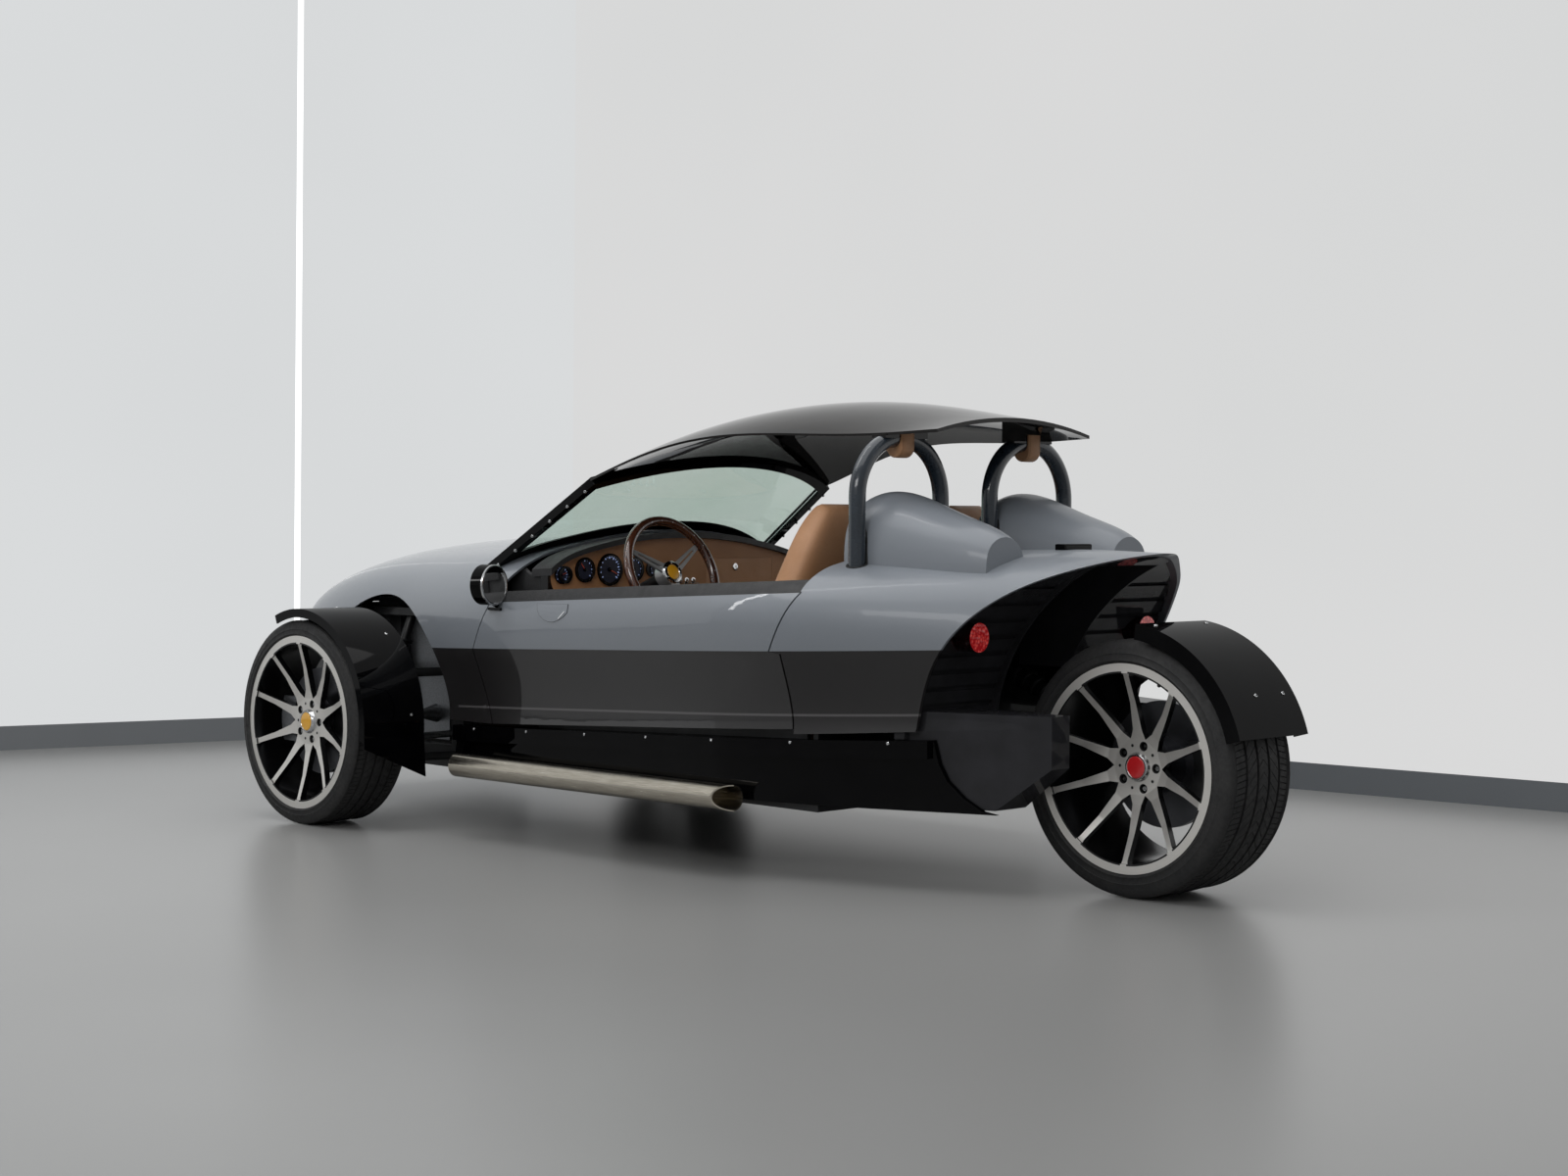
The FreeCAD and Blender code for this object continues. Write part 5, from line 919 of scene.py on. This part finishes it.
# Padded side cheeks of the cockpit, from the dash forward
def cowl_cheek(side, label):
    """A padded board that reaches up to the skin, with its crown towards the seats."""
    at_x, foot, highest = 0.536, 0.600, 0.82
    section = ((-0.006, 0.0), (0.000, 0.02), (0.003, 0.2), (0.0045, 0.5), (0.003, 0.8), (0.0, 0.97),
               (-0.006, 1.0), (-0.012, 0.97), (-0.012, 0.5), (-0.012, 0.03))
    count = len(section)
    bm = bmesh.new()
    grid = []
    for k in range(9):
        py = y(0.655) + 0.165 * k / 8
        place, _ = hit("body_front", (side * at_x, py, 0.62), (0, 0, 1))
        skin_z = (place.z if place is not None else 0.80) - 0.004
        rise = min(skin_z, highest) - foot
        grid.append([bm.verts.new((side * (at_x + depth), py, foot + rise * share))
                     for depth, share in section])
    for a, b in zip(grid, grid[1:]):
        for k in range(count):
            bm.faces.new((a[k], a[(k + 1) % count], b[(k + 1) % count], b[k]))
    for row in (grid[0], grid[-1]):
        bm.faces.new(row)
    finish("cowl_cheek_" + label, bm, [PAD], "chassis")


for side, label in SIDES:
    cowl_cheek(side, label)

# Rubber rings where the hoops pass the deck
bm = bmesh.new()
leg_radius, steps = 0.0262, 28
for x in HOOP_FEET:
    loop = []
    for k in range(steps):
        t = 2 * math.pi * k / steps
        px, py = x + leg_radius * math.cos(t), HOOP_Y + leg_radius * math.sin(t)
        place, _ = hit("body_rear", (px, py, 1.1), (0, 0, -1))
        loop.append(place if place is not None else (px, py, 0.9))
    loop_tube(bm, loop, 0.0032, 8)
finish("hoop_rings", bm, [DARK_PARTS_AND_SHADE], "chassis")


# Screws
def screws(name, node, rays, body, size=0.0055):
    """Screw heads where rays meet a node."""
    bm = bmesh.new()
    for start, direction in rays:
        place, normal = hit(node, start, direction)
        if place is not None:
            screw(bm, place, normal, size)
    finish(name, bm, [FITTINGS], body)


def inward_rays(centre, turns):
    """Rays towards a wheel's axle, each from its turn in degrees and its X."""
    rays, start = [], 0.6
    for turn, x in turns:
        d = upward(math.radians(turn))
        rays.append((Vector((x, *centre)) + d * start, -d))
    return rays


foot_y, foot_z, run_y, run_z = 0.570, 0.795, 0.415, 0.263
rays = []
for side, _ in SIDES:
    for k in range(6):
        s = 0.08 + 0.84 * k / 5
        rays.append(((side * OUTSIDE, y(foot_y + run_y * s), foot_z + run_z * s), (-side, 0, 0)))
screws("screen_screws", "windscreen_frame", rays, "chassis", 0.005)
turns = ((-50, 0.1), (-50, -0.1), (12, 0.11), (12, -0.11), (58, 0.02), (58, -0.1))
screws("rear_fender_screws", "rear_fender", inward_rays((REAR_AXLE, REAR_RADIUS), turns), "chassis")
for side, label in SIDES:
    turns = [(turn, side * 0.70) for turn in (-8, 38, 84)]
    screws("fender_screws_" + label, "fender_front_" + label, inward_rays((FENDER_Y, FRONT_RADIUS), turns),
           "knuckle_" + label)
first_y, first_z, step_y, step_z = 0.55, 0.318, 0.27, 0.0112
rays = []
for side, _ in SIDES:
    for k in range(7):
        rays.append(((side, y(first_y + step_y * k), first_z + step_z * k), (-side, 0, 0)))
screws("rocker_screws", "rocker_panels", rays, "chassis", 0.0045)

# Small lamp on the rear deck
bm = bmesh.new()
place, normal = hit("body_rear", (0.0, y(2.37), 1.4), (0, 0, -1))
on_deck = aim(place + Vector((0, 0, 0.006)), (0, normal.y, normal.z))
block(bm, (0.118, 0.034, 0.017), on_deck, 0.005, 0, 3)
block_at(bm, (0.104, 0.004, 0.009), place + Vector((0, 0.0165, 0.0055)), 0.001, 1)
finish("deck_lamp", bm, [BLACK, DARK_PARTS_AND_SHADE], "chassis")

# Head lamp glass
lamp_x, lamp_front, lamp_z = 0.33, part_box("headlamps")[0][1] + 0.004, 0.56
bm = bmesh.new()
for side, _ in SIDES:
    m = aim((side * lamp_x, lamp_front, lamp_z), (0, -1, 0))
    lathe(bm, [(0.0815, -0.004), (0.0805, 0.0), (0.066, 0.006), (0.035, 0.0105), (0, 0.012)], m, 56, 0)
    lathe(bm, [(0.0838, -0.008), (0.0838, 0.0), (0.0815, 0.0025), (0.0795, 0.001)], m, 56, 1)
finish("lamp_glasses", bm, [CLEAR, CHROME], "chassis")


# Floor, backdrop, lights and camera
def stage_plane(name, corners, colour, other, rough, glow=0.0, one_sided=False):
    """A plane of the room. Where glow is over 0 the seen wall keeps its own pale colour."""
    mesh = bpy.data.meshes.new(name)
    mesh.from_pydata(corners, [], [tuple(range(len(corners)))])
    m = Mat(name, colour, rough, 0.0)
    tone = m.mix(m.spread(m.noise(2.5, 3), 0.3, 0.7), colour, other)
    m.colour(tone)
    shader = m.bsdf.outputs[0]
    if glow:
        path = m.node("LightPath")
        seen = m.math("MAXIMUM", path.outputs["Is Camera Ray"], path.outputs["Is Glossy Ray"])
        seen = m.math("MAXIMUM", seen, path.outputs["Is Transmission Ray"])
        light = m.node("Emission", Strength=glow)
        m.link(tone, light.inputs["Color"])
        own = m.node("MixShader")
        m.link(seen, own.inputs[0])
        m.link(m.bsdf.outputs[0], own.inputs[1])
        m.link(light.outputs[0], own.inputs[2])
        shader = own.outputs[0]
    if one_sided:
        side = m.node("MixShader")
        m.link(m.node("NewGeometry").outputs["Backfacing"], side.inputs[0])
        m.link(shader, side.inputs[1])
        m.link(m.node("BsdfTransparent").outputs[0], side.inputs[2])
        m.link(side.outputs[0], m.nt.nodes["Material Output"].inputs["Surface"])
    mesh.materials.append(m.mat)
    ob = bpy.data.objects.new(name, mesh)
    bpy.context.collection.objects.link(ob)


def upright(name, start, end, low, high, colour, other, rough, glow=0.0):
    """An upright plane over the floor line from start to end, with a clear back."""
    (ax, ay), (bx, by) = start, end
    corners = [(bx, by, low), (ax, ay, low), (ax, ay, high), (bx, by, high)]
    stage_plane(name, corners, colour, other, rough, glow, True)


def lamp(name, place, target, size, power):
    """A white rectangular lamp at place that looks at target."""
    data = bpy.data.lights.new(name, "AREA")
    data.shape, data.size, data.size_y = "RECTANGLE", size[0], size[1]
    data.energy = power
    ob = bpy.data.objects.new(name, data)
    ob.matrix_world = aim(place, Vector(place) - Vector(target))
    bpy.context.collection.objects.link(ob)


CORNER, LEFT_END, RIGHT_END = (-2.014, -3.269), (7.184, -5.645), (-3.131, 9.683)
SKIRTING, WALL_TOP, FLOOR_EDGE = 0.098, 8, 16
floor = [(-FLOOR_EDGE, -FLOOR_EDGE, 0), (FLOOR_EDGE, -FLOOR_EDGE, 0), (FLOOR_EDGE, FLOOR_EDGE, 0),
         (-FLOOR_EDGE, FLOOR_EDGE, 0)]
stage_plane("floor", floor, "#8e8e8d", "#969695", 0.3)
upright("wall_left", CORNER, LEFT_END, SKIRTING, WALL_TOP, "#d6d8d9", "#dadcdd", 0.8, 1.0)
upright("wall_right", RIGHT_END, CORNER, SKIRTING, WALL_TOP, "#d6d7d7", "#dadada", 0.8, 1.0)
upright("skirting_left", CORNER, LEFT_END, 0, SKIRTING, "#6b6e71", "#75787b", 0.5)
upright("skirting_right", RIGHT_END, CORNER, 0, SKIRTING, "#606468", "#696d71", 0.5)
upright("wall_lamp", (-0.742, -3.565), (-0.717, -3.571), 0.1, WALL_TOP, "#ffffff", "#ffffff", 0.8, 1.6)

lamp("top_light", (0.6, 0.2, 4.4), (0, 0, 0), (5.0, 5.5), 125)
lamp("side_light", (6.0, 2.5, 3.4), (0, 0, 0.3), (3.5, 1.2), 85)
lamp("strip_light", (2.6, -1.5, 3.9), (0, 0, 0.6), (0.16, 6.0), 34)

world = bpy.data.worlds.new("studio")
bpy.context.scene.world = world
world.use_nodes = True
world.node_tree.nodes["Background"].inputs["Color"].default_value = (0.80, 0.81, 0.82, 1)
world.node_tree.nodes["Background"].inputs["Strength"].default_value = 0.52

yaw, roll = math.radians(44.91), math.radians(0.37)
ahead = Vector((-math.sin(yaw), -math.cos(yaw), 0))
level_right = ahead.cross(Vector((0, 0, 1)))
upright_above = level_right.cross(ahead)
right = level_right * math.cos(roll) + upright_above * math.sin(roll)
above = upright_above * math.cos(roll) - level_right * math.sin(roll)
data = bpy.data.cameras.new("camera")
data.sensor_width, data.lens, data.shift_y = 36.0, 54.945, -0.0456
data.clip_end = 60.0
camera = bpy.data.objects.new("camera", data)
bpy.context.collection.objects.link(camera)
eye = (5.051, 5.19113, 0.968)
rows = [(right[k], above[k], -ahead[k], eye[k]) for k in range(3)]
camera.matrix_world = Matrix((*rows, (0, 0, 0, 1)))
bpy.context.scene.camera = camera
bpy.context.scene.view_settings.view_transform = "Standard"
